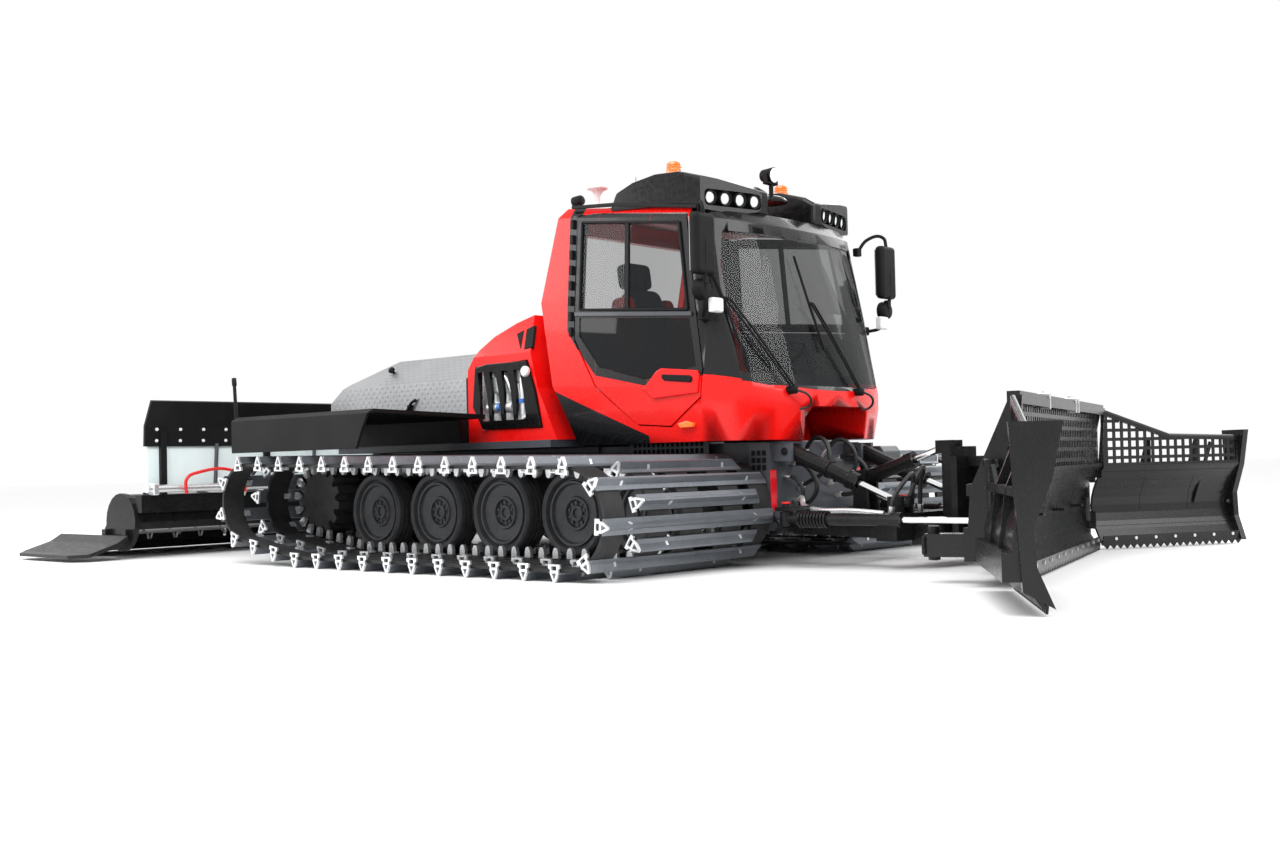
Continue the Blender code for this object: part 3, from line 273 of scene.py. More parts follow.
def node(tree, kind, settings=None, **inputs):
    """Adds a node, sets its values and sockets, and links the sockets that are given an output."""
    made = tree.nodes.new(kind)
    for key, value in (settings or {}).items():
        setattr(made, key, value)
    for key, value in inputs.items():
        by_number = key[0] == "i" and key[1:].isdigit()
        socket = made.inputs[int(key[1:]) if by_number else key.replace("_", " ")]
        if isinstance(value, bpy.types.NodeSocket):
            tree.links.new(value, socket)
        else:
            socket.default_value = value
    return made


def math_node(tree, operation, a, b=0.0, c=0.0, clamp=False):
    made = node(tree, "ShaderNodeMath", {"operation": operation, "use_clamp": clamp}, i0=a, i1=b, i2=c)
    return made.outputs[0]


def ramp(tree, value, low, high, start=0.0, end=1.0):
    """Maps a value from low..high to start..end, kept inside."""
    made = node(tree, "ShaderNodeMapRange", None, i0=value, i1=low, i2=high, i3=start, i4=end)
    return made.outputs[0]


def noise(tree, vector, scale, detail=4.0, rough=0.55, stretch=None):
    if stretch:
        vector = node(tree, "ShaderNodeMapping", None, Vector=vector, Scale=stretch).outputs[0]
    made = node(tree, "ShaderNodeTexNoise", None, Vector=vector, Scale=scale, Detail=detail, Roughness=rough)
    return made.outputs["Fac"]


def mix(tree, factor, first, second):
    made = node(tree, "ShaderNodeMix", {"data_type": "RGBA"})
    for socket, value in ((0, factor), (6, first), (7, second)):
        if isinstance(value, bpy.types.NodeSocket):
            tree.links.new(value, made.inputs[socket])
        else:
            made.inputs[socket].default_value = value if socket == 0 else (*value, 1)
    return made.outputs[2]


def finish(name, base, roughness, metallic=0.0, vary=0.12, grain=60.0, relief=0.0, relief_scale=400.0,
           dust=0.0, dust_top=0.9, coat=0.0, scuff=0.0, scuff_colour=(0.35, 0.35, 0.36), stretch=None,
           spec=0.5):
    """A worn, lightly varied surface: colour, roughness and relief from noises in metres."""
    material, tree, shader = new_material(name, base, roughness, metallic)
    shader.inputs["Specular IOR Level"].default_value = spec
    place = node(tree, "ShaderNodeTexCoord").outputs["Object"]
    broad = noise(tree, place, 2.3, 3.0)
    fine = noise(tree, place, grain, 5.0, 0.6, stretch)
    shade = math_node(tree, "ADD", math_node(tree, "MULTIPLY", broad, 0.6),
                      math_node(tree, "MULTIPLY", fine, 0.4))
    dark = [c * (1 - vary) for c in base]
    pale = [min(1.0, c * (1 + vary) + 0.004) for c in base]
    colour = mix(tree, ramp(tree, shade, 0.35, 0.65), dark, pale)
    rough = ramp(tree, fine, 0.3, 0.7, max(0.02, roughness - 0.07), min(1.0, roughness + 0.09))
    if scuff:
        lines = noise(tree, place, 9.0, 8.0, 0.75)
        mask = math_node(tree, "MULTIPLY", ramp(tree, lines, 0.60, 0.72), scuff)
        colour = mix(tree, mask, colour, scuff_colour)
        rough = math_node(tree, "ADD", rough, math_node(tree, "MULTIPLY", mask, 0.25), clamp=True)
    if dust:
        height = node(tree, "ShaderNodeSeparateXYZ", None, Vector=place).outputs[2]
        patches = ramp(tree, noise(tree, place, 14.0), 0.35, 0.75)
        film = math_node(tree, "MULTIPLY", ramp(tree, height, dust_top, 0.1), patches)
        film = math_node(tree, "MULTIPLY", film, dust)
        colour = mix(tree, film, colour, (0.42, 0.42, 0.43))
        rough = math_node(tree, "ADD", rough, math_node(tree, "MULTIPLY", film, 0.4), clamp=True)
    tree.links.new(colour, shader.inputs["Base Color"])
    tree.links.new(rough, shader.inputs["Roughness"])
    if coat:
        shader.inputs["Coat Weight"].default_value = coat
        shader.inputs["Coat Roughness"].default_value = 0.04
    if relief:
        bumps = noise(tree, place, relief_scale, 3.0)
        bump = node(tree, "ShaderNodeBump", None, Strength=relief, Distance=0.002, Height=bumps)
        tree.links.new(bump.outputs[0], shader.inputs["Normal"])
    return material


# %% [markdown]
# The machine has few finishes: red and black paint, dark and pale metals, rubber, chrome and plastic. All
# blacks reflect little, because a white surrounding would otherwise turn them grey. Metals get finer grain
# and more scuffs.

# %% The machine's finishes
RED = (0.80, 0.004, 0.003)
red_paint = finish("red_paint", RED, 0.28, vary=0.02, grain=3, coat=0.15, relief=0.04, relief_scale=90,
                   spec=0.3)
gloss_black = finish("gloss_black", (0.004, 0.004, 0.0045), 0.16, vary=0.2, grain=30, coat=0.06, spec=0.2)
satin_black = finish("satin_black", (0.007, 0.007, 0.008), 0.42, vary=0.2, grain=180, relief=0.22,
                     relief_scale=900, dust=0.02, spec=0.13)
moulded_black = finish("moulded_black", (0.006, 0.006, 0.0065), 0.50, vary=0.2, grain=200, relief=0.35,
                       relief_scale=1100, spec=0.12)
grey_paint = finish("grey_paint", (0.060, 0.066, 0.078), 0.34, vary=0.10, grain=60, coat=0.15, dust=0.06,
                    spec=0.35)
black_steel = finish("black_steel", (0.005, 0.005, 0.0055), 0.30, vary=0.2, grain=90, coat=0.05, scuff=0.07,
                     relief=0.08, dust=0.02, spec=0.18)
blade_black = finish("blade_black", (0.006, 0.0063, 0.007), 0.26, vary=0.2, grain=40, coat=0.06, scuff=0.06,
                     relief=0.06, relief_scale=60, stretch=(1, 6, 1), spec=0.3)
bar_metal = finish("bar_metal", (0.17, 0.185, 0.205), 0.36, 0.55, vary=0.16, grain=50, scuff=0.30,
                   scuff_colour=(0.45, 0.46, 0.48), relief=0.12, dust=0.12, dust_top=0.5)
pale_aluminium = finish("pale_aluminium", (0.80, 0.81, 0.82), 0.30, 0.75, vary=0.08, grain=120, relief=0.10)
tread_metal = finish("tread_metal", (0.40, 0.405, 0.415), 0.34, 0.80, vary=0.10, grain=90, relief=0.06)
belt_rubber = finish("belt_rubber", (0.013, 0.013, 0.014), 0.58, vary=0.25, grain=80, relief=0.5,
                     relief_scale=500, dust=0.05, dust_top=0.7, spec=0.3)
tyre_rubber = finish("tyre_rubber", (0.032, 0.033, 0.036), 0.62, vary=0.15, grain=110, relief=0.35,
                     relief_scale=700, dust=0.10, dust_top=0.7)
wheel_paint = finish("wheel_paint", (0.036, 0.038, 0.042), 0.50, vary=0.12, grain=60, relief=0.15, dust=0.12,
                     dust_top=0.75)
hose_rubber = finish("hose_rubber", (0.012, 0.012, 0.013), 0.46, vary=0.2, grain=150, relief=0.3,
                     relief_scale=600)
chrome = finish("chrome", (0.85, 0.85, 0.86), 0.08, 1.0, vary=0.03, grain=300)
zinc = finish("zinc", (0.62, 0.62, 0.60), 0.34, 0.95, vary=0.15, grain=200, relief=0.12)
cast_black = finish("cast_black", (0.022, 0.022, 0.024), 0.55, vary=0.25, grain=130, relief=0.4,
                    relief_scale=350, dust=0.10)
engine_metal = finish("engine_metal", (0.22, 0.22, 0.225), 0.45, 0.6, vary=0.25, grain=60, relief=0.3)
cutter_steel = finish("cutter_steel", (0.50, 0.50, 0.50), 0.33, 0.9, vary=0.2, grain=80, scuff=0.25,
                      scuff_colour=(0.20, 0.17, 0.15), relief=0.2)
mat_rubber = finish("mat_rubber", (0.007, 0.007, 0.0075), 0.36, vary=0.2, grain=25, relief=0.12,
                    relief_scale=70, dust=0.02, spec=0.3)
white_plastic = finish("white_plastic", (0.80, 0.80, 0.79), 0.35, vary=0.04, grain=120)
red_plastic = finish("red_plastic", (0.70, 0.012, 0.010), 0.30, vary=0.08, grain=60)
print("finishes", len(bpy.data.materials))


# %% [markdown]
# Window glass is a thin dark-tinted sheet, so it is made see-through by its alpha and keeps a gloss. The
# lower door glass is tinted darker. The clear curtain behind the machine has a faint cold tint and a softer
# gloss. Lamp lenses have fine flutes and a faint painted glow: an emission in their own colour that stands in
# for daylight caught in the plastic.

# %% Clear finishes
def clear_finish(name, tint, roughness, alpha, ior=1.45, haze=0.0):
    """A thin transparent sheet: see-through by its alpha, with a gloss on top and streaks of haze."""
    material, tree, shader = new_material(name, tint, roughness)
    shader.inputs["IOR"].default_value = ior
    shader.inputs["Specular IOR Level"].default_value = 0.3
    place = node(tree, "ShaderNodeTexCoord").outputs["Object"]
    streaks = noise(tree, place, 3.0, 5.0, 0.6, (1, 1, 0.3))
    tree.links.new(ramp(tree, streaks, 0.3, 0.7, max(0.0, alpha - haze), min(1.0, alpha + haze)),
                   shader.inputs["Alpha"])
    tree.links.new(mix(tree, streaks, [c * 0.93 for c in tint], tint), shader.inputs["Base Color"])
    return material


def lamp_finish(name, colour, painted_glow, roughness=0.08):
    """A lens with fine flutes and a faint painted glow in its own colour."""
    material, tree, shader = new_material(name, colour, roughness)
    place = node(tree, "ShaderNodeTexCoord").outputs["Object"]
    flutes = node(tree, "ShaderNodeTexWave", {"bands_direction": "DIAGONAL"}, Vector=place, Scale=60.0,
                  Distortion=1.0)
    bump = node(tree, "ShaderNodeBump", None, Strength=0.25, Distance=0.002, Height=flutes.outputs["Fac"])
    tree.links.new(bump.outputs[0], shader.inputs["Normal"])
    tree.links.new(mix(tree, noise(tree, place, 25.0), [c * 0.8 for c in colour], colour),
                   shader.inputs["Base Color"])
    # Painted glow: the lens emits its own colour a little, with no light source behind it.
    shader.inputs["Emission Color"].default_value = (*colour, 1)
    shader.inputs["Emission Strength"].default_value = painted_glow
    shader.inputs["Coat Weight"].default_value = 0.8
    return material


clear_glass = clear_finish("clear_glass", (0.010, 0.013, 0.014), 0.02, 0.40, haze=0.01)
dark_glass = clear_finish("dark_glass", (0.004, 0.006, 0.007), 0.02, 0.86, haze=0.01)
clear_sheet = clear_finish("clear_sheet", (0.80, 0.91, 0.91), 0.14, 0.62, haze=0.05)
# Each lens finish below gets a faint painted glow.
amber_lens = lamp_finish("amber_lens", (1.0, 0.16, 0.01), 0.35)
red_lens = lamp_finish("red_lens", (0.85, 0.01, 0.02), 0.15)
lamp_lens = lamp_finish("lamp_lens", (0.85, 0.88, 0.90), 0.15)
mirror_glass = finish("mirror_glass", (0.75, 0.78, 0.80), 0.04, 1.0, vary=0.02, grain=10)

# %% [markdown]
# ## Turned pieces and strips
# Wheels, hubs, lamps and beacons are turned: half of the section is drawn from vertices and spun round the
# axis. A belt is a loop of edges that is extruded sideways, then given its thickness.

# %% Lathe and strip helpers
def drawn_line(points, name):
    """A chain of edges through points in space, left in edit mode."""
    deselect()
    bpy.ops.mesh.primitive_plane_add(size=0.001, location=points[0])
    bpy.ops.object.transform_apply(location=True)
    active().name = name
    bpy.ops.object.mode_set(mode="EDIT")
    bpy.ops.mesh.merge(type="CENTER")
    for before, after in zip(points, points[1:]):
        bpy.ops.mesh.extrude_region_move(TRANSFORM_OT_translate={"value": Vector(after) - Vector(before)})
    bpy.ops.mesh.select_all(action="SELECT")


def lathe(profile, centre=(0, 0, 0), axis=(0, 0, 1), steps=32, name="turned", angle=30):
    """A turned piece: (radius, height) points spun round an axis through the centre."""
    drawn_line([(radius, 0, height) for radius, height in profile], name)
    bpy.ops.mesh.spin(steps=steps, angle=2 * math.pi, center=(0, 0, 0), axis=(0, 0, 1))
    bpy.ops.mesh.select_all(action="SELECT")
    bpy.ops.mesh.remove_doubles(threshold=0.0002)
    bpy.ops.mesh.normals_make_consistent(inside=False)
    bpy.ops.object.mode_set(mode="OBJECT")
    piece = active()
    turn = Vector(axis).to_track_quat("Z", "Y").to_matrix().to_4x4()
    piece.data.transform(Matrix.Translation(centre) @ turn)
    return smooth(piece, angle)


def strip(points, low, high, thickness, name):
    """A closed band: a loop in the XZ plane, extruded from one y to another and made solid inwards."""
    closed = [(x, low, z) for x, z in points + points[:1]]
    drawn_line(closed, name)
    bpy.ops.mesh.remove_doubles(threshold=0.0005)
    bpy.ops.mesh.extrude_region_move(TRANSFORM_OT_translate={"value": (0, high - low, 0)})
    bpy.ops.mesh.select_all(action="SELECT")
    bpy.ops.mesh.normals_make_consistent(inside=False)
    bpy.ops.object.mode_set(mode="OBJECT")
    piece = modify(active(), "SOLIDIFY", thickness=thickness, offset=-1)
    return smooth(piece, 40)


# %% [markdown]
# ## The tracks
# A groomer's track is made of rubber belts side by side, joined by aluminium bars that bite into the snow.
# Long bars and shorter ones alternate, a bracket with a triangular hole closes each outer end, and pale horns
# inside the loop keep the wheels between the belts. The loop runs round the sprocket and five wheels,
# so its path is built from their circles and common tangents, and each part is modelled once at the
# origin and then copied to its place on the path.

# %% The loop's path
WHEEL_X = (-1.09, -0.43, 0.23, 0.89, 1.50)
WHEEL_RADIUS = 0.28
SPROCKET = (-1.75, 0.44)
SPROCKET_RADIUS = 0.26
BELT = 0.020
BAR_PITCH = 0.1245
TRACK_MIDDLE = 1.31
WHEEL_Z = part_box("road_wheels_left")[0].z + WHEEL_RADIUS


def arc(centre, radius, start, end, steps):
    """Points on an arc, angles in degrees."""
    angles = [math.radians(start + (end - start) * i / steps) for i in range(steps + 1)]
    return [(centre[0] + radius * math.cos(a), centre[1] + radius * math.sin(a)) for a in angles]


def loop_path(offset):
    """The belt's loop at a distance outside the wheels."""
    front, first = (WHEEL_X[-1], WHEEL_Z), (WHEEL_X[0], WHEEL_Z)
    large, small = SPROCKET_RADIUS + offset, WHEEL_RADIUS + offset

    def tangent(a, radius_a, b, radius_b, side):
        heading = math.atan2(b[1] - a[1], b[0] - a[0])
        return math.degrees(heading + side * math.acos((radius_a - radius_b) / math.dist(a, b)))

    top = tangent(SPROCKET, large, front, small, 1)
    low = tangent(SPROCKET, large, first, small, -1)
    return (arc(front, small, top, -90, 24) + arc(first, small, -90, low, 4)
            + arc(SPROCKET, large, low, top - 360, 24))


def places_on(points, count):
    """Evenly spaced matrices on a loop: X along it, Z outwards."""
    ends = points[1:] + points[:1]
    lengths = [math.dist(a, b) for a, b in zip(points, ends)]
    total = sum(lengths)
    places, index, passed = [], 0, 0.0
    for i in range(count):
        target = total * i / count
        while passed + lengths[index] <= target:
            passed += lengths[index]
            index += 1
        a, b = points[index], ends[index]
        share = (target - passed) / lengths[index]
        tx, tz = (b[0] - a[0]) / lengths[index], (b[1] - a[1]) / lengths[index]
        x, z = a[0] + (b[0] - a[0]) * share, a[1] + (b[1] - a[1]) * share
        places.append(Matrix(((tx, 0, -tz, x), (0, 1, 0, 0), (tz, 0, tx, z), (0, 0, 0, 1))))
    return places


loop = loop_path(BELT)
loop_length = sum(math.dist(a, b) for a, b in zip(loop, loop[1:] + loop[:1]))
BAR_COUNT = 2 * round(loop_length / BAR_PITCH / 2)
PLACES = places_on(loop, BAR_COUNT)
print("loop", round(loop_length, 3), "m with", BAR_COUNT, "bars a side")

# %% [markdown]
# Five rubber belts run side by side round the loop. Each is one band with the same path, so the wheels fit
# between them and the bars tie them together. The left track is modelled and the right one is its mirror
# image.

# %% Belts
BELTS = ((0.535, 0.72), (0.83, 1.02), (1.215, 1.405), (1.52, 1.69), (1.90, 2.065))


def place_copies(model, places, name):
    """Copies of a model at every place, joined into one piece; the model itself is removed."""
    copies = [copy_of(model, place) for place in places]
    bpy.data.objects.remove(model)
    return join(copies, name)


belts = join([strip(loop, low, high, BELT, "belt") for low, high in BELTS], "belts_left")
done(mirrored(belts, "belts_right"), "root", belt_rubber, "tyre_rubber")
done(belts, "root", belt_rubber, "tyre_rubber")

# %% [markdown]
# Each bar is a low aluminium section with a sharp crest that bites into snow. The section is drawn once and
# extruded to two lengths, and the crest is cut back at both ends. Long and short bars alternate round the
# loop.

# %% Bars, long and short
BAR_SECTION = [(-0.047, 0.0), (0.047, 0.0), (0.047, 0.007), (0.020, 0.014), (0.006, 0.0545), (-0.006, 0.0545),
               (-0.020, 0.014), (-0.047, 0.007)]
LONG_BAR = (0.53, 2.085)
SHORT_BAR = (0.67, 1.78)


def bar(inner, outer):
    """A bar whose crest is cut back at both ends."""
    piece = plate(BAR_SECTION, inner, outer, "XZ", name="bar")
    for vertex in piece.data.vertices:
        if vertex.co.z > 0.03:
            vertex.co.y += 0.07 if vertex.co.y < (inner + outer) / 2 else -0.012
    return piece


bars = join([place_copies(bar(*LONG_BAR), PLACES[0::2], "long_bars"),
             place_copies(bar(*SHORT_BAR), PLACES[1::2], "short_bars")], "bars_left")
done(mirrored(bars, "bars_right"), "root", bar_metal, "track_bar", "track_right")
done(bars, "root", bar_metal, "track_bar", "track_left")

# %% [markdown]
# Pale brackets with a triangular hole close the outer ends of the bars, small clamps hold the bars on the
# belts, and horns on the inner side guide the wheels. One of each is modelled and copied to every bar it
# belongs to.

# %% End brackets, clamps and guide horns
BRACKET = [(-0.046, -0.048), (0.046, -0.048), (0.046, -0.026), (0.030, -0.018), (0.034, 0.0), (0.008, 0.0545),
           (-0.008, 0.0545), (-0.034, 0.0), (-0.030, -0.018), (-0.046, -0.026)]
BRACKET_HOLE = [(-0.018, 0.002), (0.018, 0.002), (0.0, 0.040)]
FOOT_HOLE = [(-0.020, -0.038), (0.020, -0.038), (0.020, -0.014), (-0.020, -0.014)]


def bracket(outer):
    piece = plate(BRACKET, outer - 0.004, outer + 0.010, name="bracket")
    return carve(piece, plate(BRACKET_HOLE, outer - 0.02, outer + 0.03),
                 plate(FOOT_HOLE, outer - 0.02, outer + 0.03))


def clamp(y):
    """A small clamp that grips a bar over a belt's edge."""
    piece = block((-0.020, y - 0.022, -0.030), (0.020, y + 0.022, -0.020), name="clamp")
    cheek = plate([(-0.030, 0.004), (-0.010, 0.040), (0.012, 0.040), (0.030, 0.004)], y - 0.010, y + 0.010)
    return join([piece, cheek], "clamp")


def horn(y):
    """A guide horn: a tapering block with a rounded head, on the belt's inner side."""
    profile = [(-0.026, -0.020), (0.026, -0.020), (0.024, -0.058), (0.016, -0.082), (0.0, -0.090),
               (-0.016, -0.082), (-0.024, -0.058)]
    return plate(list(reversed(profile)), y - 0.013, y + 0.013, name="horn")


pale = [place_copies(bracket(2.086), PLACES[0::2], "brackets"),
        place_copies(bracket(1.781), PLACES[1::2], "brackets"),
        place_copies(clamp(1.88), PLACES[0::2], "clamps"), place_copies(clamp(0.73), PLACES[0::2], "clamps"),
        place_copies(clamp(0.84), PLACES[1::2], "clamps"), place_copies(clamp(1.53), PLACES[1::2], "clamps"),
        place_copies(horn(1.175), PLACES, "horns"), place_copies(horn(1.445), PLACES, "horns")]
fittings = join(pale, "track_fittings_left")
done(mirrored(fittings, "track_fittings_right"), "root", pale_aluminium, "track_bar")
done(fittings, "root", pale_aluminium, "track_bar")
print("track fittings", len(fittings.data.polygons), "faces a side")

# %% [markdown]
# ## Road wheels
# Each wheel is a dark dished disc with a hub ring and five bolts, in a solid tyre with ribs. Disc and tyre
# are two turned pieces, because rubber and paint shine differently.

# %% Discs, hubs and tyres
DISC = [(0.0, 0.036), (0.028, 0.036), (0.032, 0.048), (0.050, 0.048), (0.055, 0.034), (0.084, 0.032),
        (0.090, 0.052), (0.104, 0.054), (0.110, 0.042), (0.182, 0.054), (0.192, 0.076), (0.204, 0.078),
        (0.209, 0.060), (0.222, 0.058), (0.222, -0.055), (0.10, -0.06), (0.0, -0.06)]
TYRE = [(0.216, 0.050), (0.222, 0.066), (0.232, 0.088), (0.258, 0.096), (0.272, 0.084), (0.280, 0.064),
        (0.280, 0.042), (0.271, 0.039), (0.271, 0.031), (0.280, 0.028), (0.280, 0.004), (0.271, 0.001),
        (0.271, -0.007), (0.280, -0.010), (0.280, -0.034), (0.271, -0.037), (0.271, -0.045), (0.280, -0.048),
        (0.276, -0.076), (0.258, -0.096), (0.226, -0.088), (0.216, -0.05), (0.216, 0.050)]
WHEEL_PLACES = [Matrix.Translation((x, TRACK_MIDDLE, WHEEL_Z)) for x in WHEEL_X]
AXLE_TURN = Vector((0, 1, 0)).to_track_quat("Z", "Y").to_matrix().to_4x4()

disc = [lathe(DISC, steps=40, name="disc", angle=24)]
for i in range(5):
    angle = 2 * math.pi * i / 5 + 0.3
    foot = (0.067 * math.cos(angle), 0.067 * math.sin(angle), 0.030)
    disc.append(rod(foot, (foot[0], foot[1], 0.046), 0.011, 6, name="bolt"))
    spoke = block((0.028, -0.009, 0.030), (0.086, 0.009, 0.042), 0.003, 1)
    spoke.data.transform(Matrix.Rotation(angle + math.pi / 5, 4, "Z"))
    disc.append(spoke)
disc = join(disc, "disc")
tyre = lathe(TYRE, steps=48, name="tyre", angle=24)
for piece in (disc, tyre):
    piece.data.transform(AXLE_TURN)
discs = [place_copies(disc, WHEEL_PLACES, "discs")]
beam_low, beam_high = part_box("road_wheels_left")
discs.append(block((beam_low.x + 0.05, 0.455, 0.42), (WHEEL_X[-1] + 0.10, 0.60, 0.54), 0.01))
for x in WHEEL_X:
    discs.append(rod((x, 0.50, WHEEL_Z), (x, TRACK_MIDDLE - 0.05, WHEEL_Z), 0.042, 16))
    discs.append(block((x - 0.05, 0.47, WHEEL_Z - 0.04), (x + 0.05, 0.57, 0.50), 0.012))
discs = join(discs, "wheel_discs_left")
tyres = place_copies(tyre, WHEEL_PLACES, "tyres_left")
for word, side in SIDES:
    turned_discs = discs if side > 0 else mirrored(discs, "wheel_discs_right")
    turned_tyres = tyres if side > 0 else mirrored(tyres, "tyres_right")
    done(turned_discs, "root", wheel_paint, "tyre_rubber", f"road_wheels_{word}")
    done(turned_tyres, "root", tyre_rubber, "tyre_rubber")

# %% [markdown]
# ## Cab paint
# The cab is a red shell with a black mask round the glass and a black panel along its lower edge. A shop
# would mask and spray these areas, so one paint holds both colours and the border follows lines given in
# metres.

# %% Masked paint
def line_mask(tree, x, z, outline, above=True):
    """1 on one side of straight lines through pairs of (x, z) points, 0 elsewhere."""
    mask = 1.0
    for (x0, z0), (x1, z1) in zip(outline, outline[1:]):
        slope = (z1 - z0) / (x1 - x0)
        rise = math_node(tree, "SUBTRACT", z, math_node(tree, "MULTIPLY_ADD", x, slope, z0 - slope * x0))
        step = ramp(tree, rise, -0.002, 0.002) if above else ramp(tree, rise, 0.002, -0.002)
        mask = math_node(tree, "MULTIPLY", mask, step)
    return mask


def masked_paint(name, zones):
    """Red paint with black zones, each given by its lines, the side of them, and an x range."""
    material, tree, shader = new_material(name, RED, 0.26)
    place = node(tree, "ShaderNodeTexCoord").outputs["Object"]
    x, y, z = node(tree, "ShaderNodeSeparateXYZ", None, Vector=place).outputs
    square = math_node(tree, "MULTIPLY", y, y)
    level = math_node(tree, "SUBTRACT", z, math_node(tree, "MULTIPLY", square, 0.10))
    total = 0.0
    for outline, above, low, high, curved in zones:
        mask = line_mask(tree, x, level if curved else z, outline, above)
        mask = math_node(tree, "MULTIPLY", mask, ramp(tree, x, low - 0.002, low + 0.002))
        mask = math_node(tree, "MULTIPLY", mask, ramp(tree, x, high + 0.002, high - 0.002))
        total = math_node(tree, "MAXIMUM", total, mask)
    peel = noise(tree, place, 90.0)
    red = mix(tree, noise(tree, place, 1.6), RED, (0.84, 0.009, 0.006))
    tree.links.new(mix(tree, total, red, (0.007, 0.007, 0.008)), shader.inputs["Base Color"])
    tree.links.new(ramp(tree, peel, 0.3, 0.7, 0.22, 0.30), shader.inputs["Roughness"])
    bump = node(tree, "ShaderNodeBump", None, Strength=0.04, Distance=0.002, Height=peel)
    tree.links.new(bump.outputs[0], shader.inputs["Normal"])
    shader.inputs["Coat Weight"].default_value = 0.12
    shader.inputs["Specular IOR Level"].default_value = 0.3
    return material


cab_paint = masked_paint("cab_paint", [
    ([(1.50, 1.125), (2.10, 1.095)], True, 1.585, 2.5, True),
    ([(0.0, 2.35), (2.0, 2.11)], True, 1.60, 2.5, False),
    ([(1.40, 1.24), (1.62, 1.20)], True, 1.44, 1.60, False),
    ([(0.15, 1.215), (1.10, 0.835)], False, 0.0, 1.10, False),
    ([(0.30, 1.70), (0.48, 1.45)], True, 0.395, 0.50, False)])
door_paint = masked_paint("door_paint", [([(0.46, 1.475), (0.66, 1.25)], True, 0.0, 0.66, False),
                                         ([(0.66, 1.25), (1.12, 1.155)], True, 0.66, 1.12, False),
                                         ([(1.12, 1.155), (1.60, 1.20)], True, 1.12, 2.0, False)])
frame_grey = finish("frame_grey", (0.035, 0.038, 0.044), 0.36, vary=0.1, grain=80, coat=0.2)
seat_cloth = finish("seat_cloth", (0.020, 0.020, 0.022), 0.85, vary=0.25, grain=220, relief=0.5,
                    relief_scale=900)
seat_red = finish("seat_red", (0.60, 0.010, 0.012), 0.80, vary=0.15, grain=220, relief=0.5, relief_scale=900)


def pair(piece, name, body, material, slot, *replaced):
    """Finishes a piece made on the right, and its twin on the left. {} in a name stands for the side."""
    twin = mirrored(piece)
    for (word, side), one in zip(SIDES, (piece, twin)):
        done(one, body.format(word), material, slot, *(each.format(word) for each in replaced),
             name=f"{name}_{word}")


WALL_KNEE = 1.77  # the height where the side wall starts to lean more
WALL_SLOPE = 0.076  # how far in it goes for each metre above the knee
UPPER_LEAN, LOWER_LEAN = -4.4, -2.5  # the wall's lean above and below the knee, in degrees


def leaning(piece, y, z, degrees):
    """Turns an upright piece about a level line along the machine, as the side wall leans."""
    turn = Matrix.Translation((0, y, z)) @ Matrix.Rotation(math.radians(degrees), 4, "X")
    piece.data.transform(turn @ Matrix.Translation((0, -y, -z)))
    return piece


# %% [markdown]
# ## Doors
# Each door has a sliding upper pane and a darker fixed lower pane under a pale divider rail. Side glass is
# cut flat and leans inwards with the wall, so each pane is drawn upright and turned about the rail it
# stands on. Eight small hinge blocks cover the rear edge, and a black grip sits in a raised panel at the
# lower corner.

# %% Door glass, rails, hinges and grips
UPPER_PANE = [(0.512, 2.298), (1.368, 2.188), (1.458, 1.622), (0.512, 1.702)]
LOWER_PANE = [(0.512, 1.648), (1.468, 1.563), (1.523, 1.262), (1.10, 1.202), (0.702, 1.302), (0.512, 1.518)]
pair(leaning(plate(UPPER_PANE, -0.888, -0.882), -0.885, WALL_KNEE, UPPER_LEAN), "door_glass_upper", "door_{}",
     clear_glass, "clear_glass")
pair(leaning(plate(LOWER_PANE, -0.904, -0.898), -0.901, 1.40, LOWER_LEAN), "door_glass_lower", "door_{}",
     dark_glass, "clear_glass")
rail = leaning(plate([(0.47, 1.660), (0.47, 1.690), (1.49, 1.604), (1.495, 1.576)], -0.911, -0.880,
                     bevel=0.004), -0.895, 1.66, LOWER_LEAN)
pair(rail, "door_rail", "door_{}", frame_grey, "door_black")
trim = [leaning(plate([(0.925, 1.668), (0.958, 1.665), (0.938, 2.244), (0.905, 2.248)], -0.897, -0.878),
                -0.885, WALL_KNEE, UPPER_LEAN)]
for (x0, z0), (x1, z1) in zip(UPPER_PANE, UPPER_PANE[1:] + UPPER_PANE[:1]):
    ends = [(x, -0.893 + (z - WALL_KNEE) * WALL_SLOPE, z) for x, z in ((x0, z0), (x1, z1))]
    trim.append(rod(*ends, 0.009, 6, name="gasket"))
pair(join(trim, "trim"), "door_trim", "door_{}", satin_black, "door_black")
HINGE_BLOCKS, HINGE_START, HINGE_PITCH = 8, 1.56, 0.105
hinges = []
for i in range(HINGE_BLOCKS):
    z = HINGE_START + HINGE_PITCH * i
    y = -0.903 + max(0.0, z - WALL_KNEE) * WALL_SLOPE
    hinges.append(block((0.418, y - 0.014, z - 0.032), (0.448, y + 0.012, z + 0.030), 0.005))
pair(join(hinges, "hinges"), "door_hinges", "cab", satin_black, "satin_black")
panel = plate([(1.09, 1.135), (1.21, 1.245), (1.25, 1.262), (1.545, 1.232), (1.560, 1.20), (1.545, 1.09),
               (1.18, 1.07)], -0.934, -0.912, bevel=0.006)
pair(panel, "door_grip_panel", "door_{}", red_paint, "red_paint")
grip = plate([(1.262, 1.222), (1.262, 1.196), (1.285, 1.180), (1.495, 1.158), (1.510, 1.166), (1.510, 1.192),
              (1.49, 1.204)], -0.944, -0.925, bevel=0.006)
pair(grip, "door_grip", "door_{}", moulded_black, "door_black")

# %% [markdown]
# ## Roof
# Two glossy pods hold four round lamps each. They are drawn as a side outline, cut to a curved front, and
# each lamp is a turned bezel with a fluted lens. Beacons, a mushroom antenna, a whip and a small rear lamp
# stand on the roof.

